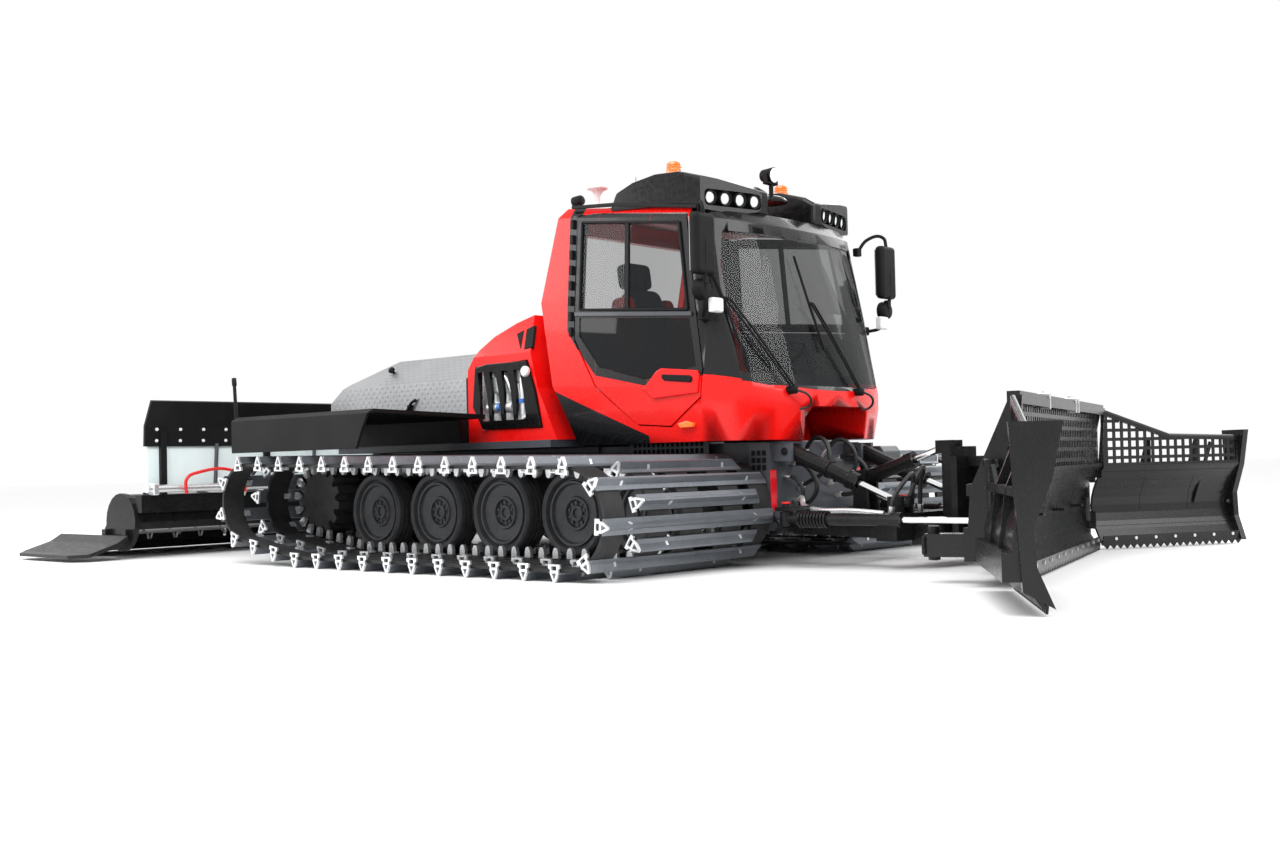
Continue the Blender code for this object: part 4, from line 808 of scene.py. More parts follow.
# %% Visor pods and lamps
pod = plate([(0.74, 2.34), (0.80, 2.46), (0.95, 2.51), (1.14, 2.535), (1.34, 2.525), (1.56, 2.458),
             (1.64, 2.41), (1.635, 2.268), (1.58, 2.245), (1.42, 2.285), (1.10, 2.32)], -0.835, -0.25,
            bevel=0.022)
nose = plate([(1.80, -0.15), (1.80, -0.90), (1.515, -0.90), (1.655, -0.26), (1.66, -0.15)], 2.10, 2.65,
             plane="XY")
recess = block((-0.05, -0.235, -0.052), (0.05, 0.235, 0.052), 0.03)
# The pod's front face turns outwards by 14 degrees and looks a little down.
FACE = Matrix.Translation((1.598, -0.575, 2.335)) @ Matrix.Rotation(math.radians(-14), 4, "Z")
FACE = FACE @ Matrix.Rotation(math.radians(8), 4, "Y")
recess.data.transform(FACE)
carve(pod, nose, recess)
pair(pod, "visor_pod", "cab", gloss_black, "gloss_black", "roof_visor")
BEZEL = [(0.0, 0.004), (0.036, 0.006), (0.040, 0.020), (0.046, 0.022), (0.049, 0.014), (0.047, -0.03),
         (0.0, -0.03)]
LENS = [(0.0, 0.012), (0.020, 0.011), (0.037, 0.005), (0.037, -0.004), (0.0, -0.004)]
bezels, lenses = [], []
for y in (-0.180, -0.060, 0.060, 0.180):
    spot = FACE @ Matrix.Translation((-0.030, y, 0)) @ Matrix.Rotation(math.pi / 2, 4, "Y")
    for profile, bag in ((BEZEL, bezels), (LENS, lenses)):
        turned_piece = lathe(profile, steps=28, name="lamp", angle=24)
        turned_piece.data.transform(spot)
        bag.append(turned_piece)
pair(join(bezels, "bezels"), "visor_bezels", "cab", moulded_black, "satin_black")
pair(join(lenses, "lenses"), "visor_lenses", "cab", lamp_lens, "clear_glass")

# %% [markdown]
# A band runs along the roof edge with a cable over it. The beacons are ribbed amber domes on a metal cup,
# turned from one section, and the antenna is a white mushroom. The searchlight turns on its dome, so it
# rides its own body.

# %% Roof fittings
roof_band = plate([(0.40, 2.405), (0.40, 2.428), (0.80, 2.395), (1.50, 2.285), (1.50, 2.262), (0.80, 2.37)],
                  -0.842, -0.820, bevel=0.004)
pair(roof_band, "roof_band", "cab", satin_black, "satin_black")
beacon_cup = lathe([(0.0, 0.0), (0.058, 0.0), (0.060, 0.014), (0.050, 0.040), (0.0, 0.040)], steps=32)
beacon_cup.data.transform(Matrix.Translation((1.12, -0.60, 2.515)))
pair(beacon_cup, "beacon_foot", "cab", zinc, "satin_black")
dome = lathe([(0.0, 0.098), (0.034, 0.096), (0.046, 0.088), (0.050, 0.074), (0.047, 0.068), (0.052, 0.060),
              (0.049, 0.050), (0.054, 0.040), (0.052, 0.030), (0.056, 0.018), (0.056, 0.0), (0.0, 0.0)],
             steps=32)
dome.data.transform(Matrix.Translation((1.12, -0.60, 2.552)))
pair(dome, "beacon_dome", "cab", amber_lens, "clear_glass")
mushroom = lathe([(0.0, 0.205), (0.030, 0.202), (0.060, 0.185), (0.075, 0.165), (0.072, 0.156),
                  (0.040, 0.140), (0.020, 0.110), (0.014, 0.050), (0.014, 0.0), (0.0, 0.0)], steps=32)
mushroom.data.transform(Matrix.Translation((0.42, -0.60, 2.415)))
done(mushroom, "cab", white_plastic, "satin_black", name="position_antenna")
whip = [rod((0.78, -0.60, 2.38), (0.78, -0.60, 2.60), 0.004, 8, tip=0.002),
        rod((0.78, -0.60, 2.37), (0.78, -0.60, 2.40), 0.016, 12),
        tube([(0.26, -0.60, 2.40), (0.26, -0.62, 2.46), (0.24, -0.60, 2.50)], 0.010),
        tube([(0.28, -0.70, 2.39), (0.33, -0.63, 2.412), (0.42, -0.60, 2.42), (0.60, -0.61, 2.415),
              (0.80, -0.60, 2.40)], 0.006)]
rear_lamp = rod((0.20, -0.60, 2.505), (0.27, -0.60, 2.520), 0.045, 20, tip=0.034, bevel=0.006)
done(join(whip + [rear_lamp], "whip"), "cab", moulded_black, "satin_black", name="roof_aerials")
light = [lathe([(0.0, 0.0), (0.105, 0.0), (0.108, 0.012), (0.095, 0.030), (0.060, 0.046), (0.0, 0.050)],
               steps=36)]
light[0].data.transform(Matrix.Translation((1.47, 0, 2.395)))
neck = [rod((1.47, 0, 2.44), (1.47, 0, 2.53), 0.016, 16),
        block((1.44, -0.055, 2.525), (1.49, 0.055, 2.540), 0.005)]
for side in (-1, 1):
    low, high = sorted((side * 0.052, side * 0.062))
    neck.append(plate([(1.445, 2.525), (1.485, 2.525), (1.480, 2.60), (1.450, 2.60)], low, high, bevel=0.003))
lamp_body = rod((1.400, 0, 2.595), (1.500, 0, 2.585), 0.040, 28, tip=0.055, bevel=0.006)
done(join(light, "dome"), "cab", gloss_black, "satin_black", name="searchlight_foot")
done(join(neck + [lamp_body], "light"), "searchlight", moulded_black, "satin_black", "searchlight",
     name="searchlight_body")
lens = lathe([(0.0, 0.010), (0.030, 0.008), (0.049, 0.0), (0.049, -0.01), (0.0, -0.01)], steps=28)
lens.data.transform(Matrix.Translation((1.501, 0, 2.585)) @ Matrix.Rotation(math.radians(96), 4, "Y"))
done(lens, "searchlight", lamp_lens, "clear_glass", name="searchlight_lens")
print("roof done")

# %% [markdown]
# ## Mirrors and wipers
# A tall rounded mirror and a small round one share a bent tube on each front pillar, with a square work
# lamp below. The wipers are parallel pairs of thin arms on pivots at the red cowl, with a long blade
# leaning outwards.

# %% Mirrors
mirror_tube = tube([(1.56, -0.90, 2.14), (1.62, -0.96, 2.235), (1.695, -1.03, 2.245), (1.715, -1.04, 2.18),
                    (1.715, -1.04, 1.70), (1.68, -1.01, 1.60), (1.60, -0.93, 1.565)], 0.012)
clamp_blocks = [block((1.54, -0.925, 2.11), (1.585, -0.87, 2.17), 0.008),
                block((1.575, -0.945, 1.54), (1.62, -0.88, 1.60), 0.008),
                block((1.695, -1.06, 1.74), (1.735, -1.02, 1.79), 0.006)]
housing = block((1.668, -1.135, 1.80), (1.742, -0.948, 2.18), 0.030, 4)
small = rod((1.66, -1.04, 1.715), (1.725, -1.04, 1.715), 0.072, 32, tip=0.058, bevel=0.014)
pair(join([mirror_tube, housing, small] + clamp_blocks, "mirror"), "mirror_housing", "cab", moulded_black,
     "satin_black", "mirror_{}")
glass = block((1.664, -1.120, 1.825), (1.669, -0.963, 2.155), 0.002)
pair(glass, "mirror_glass", "cab", mirror_glass, "clear_glass")
work_body = block((1.70, -0.998, 1.575), (1.745, -0.900, 1.665), 0.010)
work_lens = block((1.742, -0.990, 1.582), (1.752, -0.908, 1.658), 0.004)
pair(work_body, "work_lamp", "cab", white_plastic, "satin_black")
pair(work_lens, "work_lamp_lens", "cab", lamp_lens, "clear_glass")


# %% [markdown]
# The windscreen is curved both ways, so the wipers can't be straight. Every point of an arm or blade is
# placed on the glass by its height and its place across, and then lifted off by a few centimetres.

# %% Wipers
def screen_x(y, z):
    """How far forward the windscreen stands at a height and a place across."""
    rings = ((1.00, 1.56, 1.98, 0.91), (1.20, 1.58, 1.96, 0.92), (1.77, 1.54, 1.82, 0.895),
             (2.36, 1.47, 1.69, 0.85))
    level = z + 0.10
    for (z0, side0, front0, half0), (z1, side1, front1, half1) in zip(rings, rings[1:]):
        if level <= z1 or z1 == 2.36:
            share = (level - z0) / (z1 - z0)
            pairs = ((side0, side1), (front0, front1), (half0, half1))
            side, front, half = (a + (b - a) * share for a, b in pairs)
            return side + (front - side) * math.sqrt(max(0.0, 1 - (y / half) ** 2))
    return 1.6


def on_screen(y, z, out):
    return (screen_x(y, z) + out, y, z)


wipers = []
for pivot_y, tip_y in ((-0.46, -0.80), (0.24, -0.10)):
    wipers.append(rod(on_screen(pivot_y, 1.10, -0.02), on_screen(pivot_y, 1.10, 0.055), 0.026, 16,
                      bevel=0.005))
    for shift in (-0.014, 0.014):
        path = [on_screen(pivot_y + (tip_y - pivot_y) * share + shift, 1.11 + 0.56 * share, 0.036)
                for share in (0, 0.33, 0.66, 1)]
        wipers.append(tube(path, 0.007))
    middle_y = tip_y - 0.01
    path = [on_screen(middle_y + 0.11 * (share - 0.5), 1.68 - 0.62 * (share - 0.5), 0.014) for share in
            (0, 0.25, 0.5, 0.75, 1)]
    wipers += [tube(path, 0.009), rod(path[2], on_screen(tip_y, 1.67, 0.045), 0.011, 12)]
done(join(wipers, "wipers"), "cab", moulded_black, "satin_black", name="wipers")
washer = []
for y in (-0.46, 0.24):
    washer.append(tube([on_screen(y, 1.10, 0.055), on_screen(y + 0.06, 1.06, 0.09),
                        on_screen(y + 0.10, 1.00, 0.05), on_screen(y + 0.07, 0.98, 0.0)], 0.008))
done(join(washer, "washer"), "cab", hose_rubber, "satin_black", name="washer_hoses")
print("mirrors and wipers done")

# %% [markdown]
# ## Seats
# Two padded seats on steel pedestals: foam under cloth, with a softer middle and firmer side rolls. Each
# pad starts as a block, gets a sewn groove by an inset, and is smoothed by subdivision. The pads are
# modelled, not simulated.

# %% Padded seats
def pad(low, high, bevel, name):
    """A stuffed pad: a block with its two large faces inset for a seam, then subdivided to a soft shape."""
    piece = block(low, high)
    pick(piece)
    bpy.ops.object.mode_set(mode="EDIT")
    bpy.ops.mesh.select_all(action="SELECT")
    bpy.ops.mesh.subdivide(number_cuts=2)
    bpy.ops.mesh.select_all(action="SELECT")
    bpy.ops.mesh.inset(thickness=bevel * 0.35, depth=bevel * 0.12)
    bpy.ops.object.mode_set(mode="OBJECT")
    modify(piece, "SUBSURF", levels=2)
    piece.name = piece.data.name = name
    return smooth(piece, 60)


for name, y in (("driver", 0.36), ("passenger", -0.36)):
    lean = Matrix.Translation((0.67, y, 1.20)) @ Matrix.Rotation(math.radians(-7.5), 4, "Y")
    lean = lean @ Matrix.Translation((-0.67, -y, -1.20))
    cushion = pad((0.62, y - 0.17, 1.135), (1.10, y + 0.17, 1.275), 0.05, "cushion")
    back = pad((0.60, y - 0.16, 1.24), (0.74, y + 0.16, 1.86), 0.05, "back")
    head = pad((0.585, y - 0.13, 1.89), (0.68, y + 0.13, 2.06), 0.04, "head")
    for piece in (back, head):
        piece.data.transform(lean)
    rolls = []
    for side in (-1, 1):
        low, high = sorted((side * 0.165, side * 0.25))
        rolls.append(pad((0.63, y + low, 1.15), (1.09, y + high, 1.29), 0.04, "roll"))
        wing_pad = pad((0.60, y + low, 1.26), (0.76, y + high, 1.80), 0.04, "roll")
        wing_pad.data.transform(lean)
        rolls.append(wing_pad)
    main = done(join([cushion, back, head], "pads"), "cab", seat_cloth, "seat_cloth", f"seat_{name}",
                name=f"seat_pads_{name}")
    side_rolls = done(join(rolls, "rolls"), "cab", seat_red, "seat_cloth", name=f"seat_rolls_{name}")
    legs = [block((0.68, y - 0.16, 0.845), (1.02, y + 0.16, 0.93), 0.01),
            block((0.74, y - 0.10, 0.92), (0.96, y + 0.10, 1.10), 0.02),
            block((0.66, y - 0.18, 1.09), (1.04, y + 0.18, 1.145), 0.01),
            rod((0.60, y - 0.05, 1.84), (0.585, y - 0.05, 1.94), 0.008, 10),
            rod((0.60, y + 0.05, 1.84), (0.585, y + 0.05, 1.94), 0.008, 10)]
    done(join(legs, "legs"), "cab", moulded_black, "satin_black", name=f"seat_base_{name}")
print("seats done")

# %% [markdown]
# ## Engine side
# Behind the cab a glossy black cover with slanting ribs shows pale engine parts between them. The cover is
# one outline with windows cut through it. Behind it sit a filter, pipes with blue couplings and a white
# filler cap.

# %% Side covers, vents and lamps
COVER = [(-0.515, 1.372), (-0.40, 1.392), (0.015, 1.392), (0.095, 1.18), (0.152, 0.925), (-0.44, 0.925),
         (-0.545, 1.09)]
cover = plate(COVER, -0.938, -0.912, bevel=0.006)
for i in range(4):
    x = -0.40 + 0.125 * i
    window = plate([(x - 0.070, 0.985), (x + 0.035, 0.985), (x + 0.010, 1.18), (x + 0.045 - 0.07, 1.335),
                    (x - 0.085, 1.335), (x - 0.060, 1.16)], -1.0, -0.86)
    carve(cover, window)
pair(cover, "engine_side_frame", "root", gloss_black, "gloss_black", "side_cover_{}")
parts = [block((-0.50, -0.878, 0.95), (0.06, -0.870, 1.37)),
         rod((-0.42, -0.885, 1.08), (-0.16, -0.885, 1.08), 0.040, 20, bevel=0.008),
         rod((-0.06, -0.89, 0.97), (-0.06, -0.89, 1.28), 0.028, 20, bevel=0.006),
         block((-0.40, -0.908, 1.18), (-0.22, -0.875, 1.30), 0.012),
         block((-0.14, -0.905, 1.24), (0.00, -0.875, 1.34), 0.012),
         tube([(-0.44, -0.89, 1.33), (-0.30, -0.90, 1.345), (-0.18, -0.895, 1.20), (-0.12, -0.89, 1.00)],
              0.016),
         tube([(-0.20, -0.90, 0.97), (0.00, -0.905, 1.02), (0.05, -0.90, 1.16)], 0.013)]
pair(join(parts, "parts"), "engine_side_parts", "root", pale_aluminium, "engine_casting")
blue = finish("blue_coupling", (0.03, 0.16, 0.52), 0.4, vary=0.1, grain=80)
bits = [rod((-0.30, -0.905, 1.08), (-0.27, -0.905, 1.08), 0.030, 16),
        rod((-0.06, -0.898, 1.10), (-0.06, -0.898, 1.13), 0.030, 16)]
pair(join(bits, "bits"), "engine_couplings", "root", blue, "engine_casting")
cap = lathe([(0.0, 0.026), (0.030, 0.026), (0.038, 0.016), (0.038, 0.0), (0.0, 0.0)], steps=24, angle=24)
cap.data.transform(Matrix.Translation((0.02, -0.938, 1.315)) @ Matrix.Rotation(math.radians(90), 4, "X"))
pair(cap, "filler_cap", "root", white_plastic, "gloss_black")
vents = [plate([(-0.055, 1.63), (0.018, 1.655), (0.058, 1.48), (-0.022, 1.47)], -0.925, -0.90, bevel=0.004),
         plate([(-0.145, 1.60), (-0.085, 1.625), (-0.060, 1.475)], -0.925, -0.90, bevel=0.004)]
vent_lean = join(vents, "vents")
vent_lean.data.transform(Matrix.Translation((0, -0.912, 1.45)) @ Matrix.Rotation(math.radians(-23), 4, "X")
                         @ Matrix.Translation((0, 0.912, -1.45)))
pair(vent_lean, "fairing_vents", "root", moulded_black, "satin_black")
signal = plate([(1.37, 0.905), (1.44, 0.920), (1.50, 0.905), (1.49, 0.880), (1.39, 0.878)], -0.925, -0.895,
               bevel=0.005)
pair(signal, "turn_signal", "cab", amber_lens, "clear_glass")

# %% [markdown]
# ## Deck
# The hood over the engine bay is aluminium diamond plate: short raised lozenges in alternating directions,
# about 30 mm apart. One lozenge is modelled and laid out in rows on the flat top, and a curved latch and a
# knob hold the hood.

# %% Diamond plate, latch and knob
def lozenge():
    """A raised lens-shaped mark, flat below and domed above."""
    outline = [(-0.013, 0), (-0.006, -0.0032), (0.006, -0.0032), (0.013, 0), (0.006, 0.0032),
               (-0.006, 0.0032)]
    return plate(outline, -0.001, 0.0022, plane="XY", bevel=0.0012)


marks = []
mark = lozenge()
PITCH = 0.034
for i in range(30):
    for j in range(40):
        x, y = -1.64 + PITCH * i, -0.68 + PITCH * j
        turn = Matrix.Rotation(math.radians(45 if (i + j) % 2 else -45), 4, "Z")
        marks.append(Matrix.Translation((x, y, 1.50)) @ turn)
top_marks = place_copies(mark, marks, "top_marks")
side_marks = []
mark = lozenge()
for word, side in SIDES:
    for i in range(47):
        for j in range(8):
            x, z = -0.655 - PITCH * i, 1.045 + PITCH * j
            if z > 1.17 + max(0.0, x + 2.25) * 0.55:
                continue
            turn = Matrix.Rotation(math.radians(45 if (i + j) % 2 else -45), 4, "Z")
            upright = Matrix.Rotation(math.radians(90 if side < 0 else -90), 4, "X")
            side_marks.append(Matrix.Translation((x, side * 0.92, z)) @ upright @ turn)
side_marks = place_copies(mark, side_marks, "side_marks")
slope_marks = []
mark = lozenge()
for word, side in SIDES:
    lean = math.atan2(0.20, 0.22)
    for i in range(30):
        for j in range(8):
            x = -0.655 - PITCH * i
            share = (j + 0.5) / 8
            turn = Matrix.Rotation(math.radians(45 if (i + j) % 2 else -45), 4, "Z")
            upright = Matrix.Rotation(-side * lean, 4, "X")
            slope_marks.append(Matrix.Translation((x, side * (0.92 - 0.22 * share), 1.30 + 0.20 * share))
                               @ upright @ turn)
slope_marks = place_copies(mark, slope_marks, "slope_marks")
done(join([top_marks, side_marks, slope_marks], "marks"), "deck_lid", tread_metal, "tread_plate",
     name="diamond_marks")
latch = tube([(-1.19, -0.930, 1.175), (-1.23, -0.945, 1.150), (-1.26, -0.948, 1.110), (-1.31, -0.945, 1.085),
              (-1.36, -0.930, 1.085)], 0.011)
pair(join([latch, block((-1.29, -0.940, 1.09), (-1.24, -0.918, 1.14), 0.006)], "latch"), "hood_latch",
     "deck_lid", satin_black, "satin_black")
knob = lathe([(0.0, 0.050), (0.020, 0.048), (0.028, 0.036), (0.024, 0.022), (0.012, 0.014), (0.012, 0.0),
              (0.0, 0.0)], steps=24, angle=24)
knob.data.transform(Matrix.Translation((-1.61, -0.80, 1.405)) @ Matrix.Rotation(math.radians(48), 4, "X"))
done(knob, "deck_lid", moulded_black, "satin_black", name="hood_knob")

# %% [markdown]
# A black post stands behind the right fender. The grey panel under the cab has rows of square openings: the
# large grid is a plate with holes cut by boxes over a black sheet of painted shade, and the small groups of
# recesses are flat black patches of painted shade. A red reflector marks the front.

# %% Fender lever and side-panel grids
lever = [rod((-2.04, -1.93, 1.04), (-2.06, -1.93, 1.30), 0.013, 16),
         rod((-2.06, -1.93, 1.30), (-2.065, -1.93, 1.36), 0.018, 16, bevel=0.006),
         rod((-2.04, -1.93, 1.01), (-2.04, -1.93, 1.05), 0.028, 6)]
done(join(lever, "lever"), "root", black_steel, "black_steel", name="fender_post")
grid = plate([(0.60, 0.700), (0.60, 0.820), (1.30, 0.820), (1.30, 0.700)], -0.530, -0.517, bevel=0.003)
holes = []
for i in range(15):
    for j in range(2):
        holes.append(Matrix.Translation((0.655 + 0.042 * i, 0, 0.735 + 0.048 * j)))
hole = block((-0.014, -0.55, -0.016), (0.014, -0.50, 0.016))
carve(grid, place_copies(hole, holes, "holes"))
pair(grid, "side_grid", "root", grey_paint, "dark_grey_paint")
# Painted shade: a black sheet behind the grid darkens its holes as shade inside the panel would.
grid_shade_sheet = block((0.62, -0.517, 0.71), (1.28, -0.5145, 0.81))
pair(grid_shade_sheet, "side_grid_painted_shade", "root", moulded_black, "satin_black")
# Painted shade: flat black patches on the panel stand for the shade in small square recesses.
opening_shade_patches = []
for x0, z0, columns, rows in ((1.64, 0.60, 3, 3), (1.635, 0.34, 3, 3)):
    for i in range(columns):
        for j in range(rows):
            opening_shade_patches.append(block((x0 + 0.042 * i, -0.5185, z0 + 0.046 * j), (x0 + 0.028 + 0.042 * i, -0.5150,
                                                                              z0 + 0.032 + 0.046 * j)))
pair(join(opening_shade_patches, "opening_shade_patches"), "panel_opening_shade", "root", moulded_black, "satin_black")
# The reflector's red lens finish has a faint painted glow, though it is no lamp.
reflector = block((1.782, -0.515, 0.28), (1.788, -0.455, 0.60), 0.002)
pair(reflector, "front_reflector", "root", red_lens, "red_paint")
tow = tube([(1.78, -0.52, 0.30), (1.86, -0.53, 0.26), (1.84, -0.53, 0.21), (1.78, -0.52, 0.20)], 0.014)
pair(tow, "tow_eye", "root", black_steel, "black_steel")
print("deck and engine side done")

# %% [markdown]
# ## Blade
# The blade is a curved steel mouldboard under a see-through safety screen of square holes. Such a screen is
# punched plate; here it is laid out as crossing flat bars, which leave the same square holes. The solid
# plate of the CAD copy is cut away first, with whatever stands through the smooth face. A toothed wear
# strip runs along each lower edge.

# %% Screens and teeth
BLADE_TURN = math.radians(15.5)
BLADE_PLACE = Matrix.Translation((3.05, 0, 0)) @ Matrix.Rotation(BLADE_TURN, 4, "Z")
WING_TURNS = {"right": math.radians(18.0), "left": math.radians(-46.0)}
SCREEN_PITCH = 0.062
BAR = 0.022


def wing_place(word, side):
    return (BLADE_PLACE @ Matrix.Translation((0.31, side * 1.47, 0))
            @ Matrix.Rotation(WING_TURNS[word], 4, "Z") @ Matrix.Translation((-0.31, 0, 0)))


def screen(low_y, high_y, bottom, top_line, x):
    """Crossing flat bars: uprights at each pitch and level bars where the top line leaves room."""
    bars = []
    count = round((high_y - low_y) / SCREEN_PITCH)
    for i in range(count + 1):
        y = low_y + (high_y - low_y) * i / count
        top = top_line(y)
        bars.append(block((x, y - BAR / 2, bottom), (x + 0.007, y + BAR / 2, top)))
    z = bottom + 0.040
    while z < max(top_line(low_y), top_line(high_y)):
        inside = [low_y + (high_y - low_y) * i / 60 for i in range(61) if
                  top_line(low_y + (high_y - low_y) * i / 60) > z + 0.012]
        bars.append(block((x + 0.0005, min(inside), z - BAR / 2), (x + 0.0065, max(inside), z + BAR / 2)))
        z += SCREEN_PITCH
    return join(bars, "screen")


def teeth(low_y, high_y):
    """A wear strip with a saw-tooth lower edge."""
    count = round((high_y - low_y) / 0.055)
    step = (high_y - low_y) / count
    outline = [(low_y, 0.095)]
    for i in range(count):
        outline += [(low_y + step * i, 0.036), (low_y + step * (i + 0.5), 0.006)]
    outline += [(high_y, 0.036), (high_y, 0.095)]
    return plate(outline, 0.392, 0.404, plane="YZ", name="teeth")


def bolt_row(places, axis, radius=0.013, depth=0.012):
    """Hexagon bolt heads at places, standing out along an axis."""
    heads = [rod(p, Vector(p) + Vector(axis) * depth, radius, 6, name="bolt") for p in places]
    return join(heads, "bolts")


def with_merged(node_name):
    """A copy of a CAD part's mesh, its doubled corners merged."""
    twin = copy_of(NODES[node_name])
    twin.parent = None
    twin.matrix_world = Matrix.Identity(4)
    return outward(twin)


def face_clearance(low_y, high_y):
    """The space in front of the curved face, which must be smooth steel without beams standing through it."""
    outline = []
    for i in range(11):
        share = i / 10
        z = 0.034 + (0.566 - 0.034) * share
        rise = (z - 0.03) / 0.54
        outline.append((0.402 - 0.13 * math.sin(math.pi * rise) + 0.03 * rise, z))
    outline += [(0.60, 0.566), (0.60, 0.034)]
    return plate(outline, low_y, high_y, name="clearance")


center = with_merged("blade")
front_space = face_clearance(-1.405, 1.405)
front_space.data.transform(BLADE_PLACE)
carve(center, front_space)
cutter = block((0.388, -1.385, 0.590), (0.50, 1.385, 0.915))
cutter.data.transform(BLADE_PLACE)
carve(center, cutter)
mesh_panel = screen(-1.39, 1.39, 0.585, lambda y: 0.925, 0.402)
strip_teeth = teeth(-1.41, 1.41)
ties = [block((0.20, y - 0.035, 0.315), (0.36, y + 0.035, 0.33), 0.004) for y in (-1.0, -0.35, 0.35, 1.0)]
stiff = [rod((0.418, -1.40, 0.95), (0.418, 1.40, 0.95), 0.03, 12)]
ribs = [plate([(0.380, 0.600), (0.402, 0.600), (0.402, 0.930), (0.388, 0.930)], y - 0.010, y + 0.010) for y in
        (-0.70, -0.235, 0.235, 0.70)]
added = join([mesh_panel, strip_teeth] + ties + stiff + ribs, "added")
added.data.transform(BLADE_PLACE)
done(join([center, added], "blade_steel"), "blade", blade_black, "blade_black", "blade", name="blade_steel")
clips = []
for y in (0.25, 0.34, -0.62):
    clips += [block((0.375, y - 0.012, 0.905), (0.460, y + 0.012, 0.995), 0.004),
              rod((0.418, y, 0.985), (0.418, y, 1.005), 0.010, 6)]
clips.append(bolt_row([(0.404, -1.32 + 0.22 * i, 0.075) for i in range(13)], (1, 0, 0), 0.012, 0.008))
clips.append(bolt_row([(0.20, y, z) for y in (-1.22, -1.14) for z in (0.33, 0.43)], (-1, 0, 0), 0.014, 0.012))
clips = join(clips, "clips")
clips.data.transform(BLADE_PLACE)
done(clips, "blade", zinc, "rod_chrome", name="blade_clips")
hinge_plate = block((0.165, -1.255, 0.300), (0.205, -1.105, 0.470), 0.008)
pin_caps = [rod((0.31, s * 1.47, 0.60), (0.31, s * 1.47, 0.645), 0.038, 20, bevel=0.006) for s in (-1, 1)]
box_caps = [block((-0.110, s * 1.18 - 0.075, 0.150), (-0.085, s * 1.18 + 0.075, 0.250), 0.010)
            for s in (-1, 1)]
box_caps += [rod((-0.06, s * 1.18, 0.120), (-0.06, s * 1.18, 0.300), 0.032, 20, bevel=0.006) for s in (-1, 1)]
fit = join([hinge_plate] + pin_caps + box_caps, "fit")
fit.data.transform(BLADE_PLACE)
done(fit, "blade", black_steel, "black_steel", name="blade_brackets")

# %% [markdown]
# Each wing is hinged to the blade's end and built in the blade's own directions, then turned to its parked
# angle. Its screen follows the sloping top, the slanted struts support the end plate, and its strip has the
# same teeth.

# %% Wings
for word, side in SIDES:
    node_name = f"wing_{word}"
    place = wing_place(word, side)
    body = with_merged(node_name)
    low, high = sorted((side * 0.10, side * 1.16))

    def top_line(y):
        """The screen's sloping upper edge."""
        far = abs(y)
        if far < 0.60:
            return 0.935 + (0.765 - 0.935) * (far - 0.065) / 0.535
        return 0.765 - 0.02 * (far - 0.60) / 0.60

    corner = [(0.10, 0.590), (1.16, 0.590), (1.16, 0.730), (0.60, 0.745), (0.10, 0.905)]
    opening = plate([(side * y, z) for y, z in corner], 0.388, 0.50, plane="YZ")
    opening.data.transform(place)
    clear_low, clear_high = sorted((side * 0.07, side * 1.175))
    front_space = face_clearance(clear_low, clear_high)
    front_space.data.transform(place)
    carve(body, outward(opening), front_space)
    panel = screen(low, high, 0.585, top_line, 0.410)
    tooth_low, tooth_high = sorted((side * 0.065, side * 1.20))
    edge = teeth(tooth_low, tooth_high)
    rail_points = [(0.418, side * 0.07, 0.945), (0.418, side * 0.60, 0.772), (0.418, side * 1.20, 0.752)]
    rails = [rod(a, b, 0.012, 8) for a, b in zip(rail_points, rail_points[1:])]
    struts = [rod((0.30, side * 1.16, 0.46), (0.31, side * 1.185, 0.78), 0.014, 10),
              rod((0.29, side * 0.90, 0.30), (0.405, side * 0.96, 0.72), 0.014, 10)]
    gusset = plate([(side * 0.10, 0.50), (side * 0.10, 0.62), (side * 0.28, 0.52)], 0.30, 0.32, plane="YZ")
    extra = join([panel, edge, outward(gusset)] + rails + struts, "extra")
    extra.data.transform(place)
    done(join([body, extra], "wing"), node_name, blade_black, "blade_black", node_name,
         name=f"wing_steel_{word}")
    heads = bolt_row([(0.404, side * (0.16 + 0.16 * i), 0.075) for i in range(7)]
                     + [(0.30, side * (1.20 - 0.024), z) for z in (0.30, 0.62)], (1, 0, 0), 0.012, 0.008)
    heads.data.transform(place)
    done(heads, node_name, zinc, "rod_chrome", name=f"wing_bolts_{word}")
print("blade and wings done")

# %% [markdown]
# ## Push frame, cylinders and hoses
# Hydraulic cylinders are black barrels with a gland ring and a pin at each end, chrome rods and crimped
# hose ends. A bent steel pipe runs along the right arm. Loose hoses bridge the moving joints: each starts
# at a fitting and ends back in the machine.

# %% Glands, pins and pipes
for word, side in SIDES:
    eye, tip_eye = Vector((1.87, side * 0.40, 0.715)), Vector((2.66, side * 0.40, 0.385))
    line = (tip_eye - eye).normalized()
    rings = []
    for distance, radius, width in ((0.10, 0.062, 0.030), (0.30, 0.058, 0.014), (0.46, 0.060, 0.016)):
        rings.append(rod(eye + line * distance, eye + line * (distance + width), radius, 28, bevel=0.004))
    rings.append(rod(eye + Vector((0, -0.085, 0)), eye + Vector((0, 0.085, 0)), 0.024, 20, bevel=0.004))
    rings.append(block(eye + Vector((0.05, -0.025, -0.105)), eye + Vector((0.11, 0.025, -0.055)), 0.008))
    glands = carve(join(rings, "rings"), rod(eye + line * 0.09, eye + line * 0.60, 0.044))
    done(glands, f"lift_barrel_{word}", black_steel, "black_steel", name=f"lift_glands_{word}")
    arms = [block((1.98, side * 0.44 - 0.052, 0.235), (2.10, side * 0.44 + 0.052, 0.325), 0.012),
            block((2.48, side * 0.44 - 0.052, 0.18), (2.56, side * 0.44 + 0.052, 0.32), 0.010),
            rod((1.87, side * 0.44 - 0.065, 0.26), (1.87, side * 0.44 + 0.065, 0.26), 0.032, 20, bevel=0.006)]
    done(join(arms, "arms"), "push_frame", black_steel, "black_steel", name=f"arm_bands_{word}")
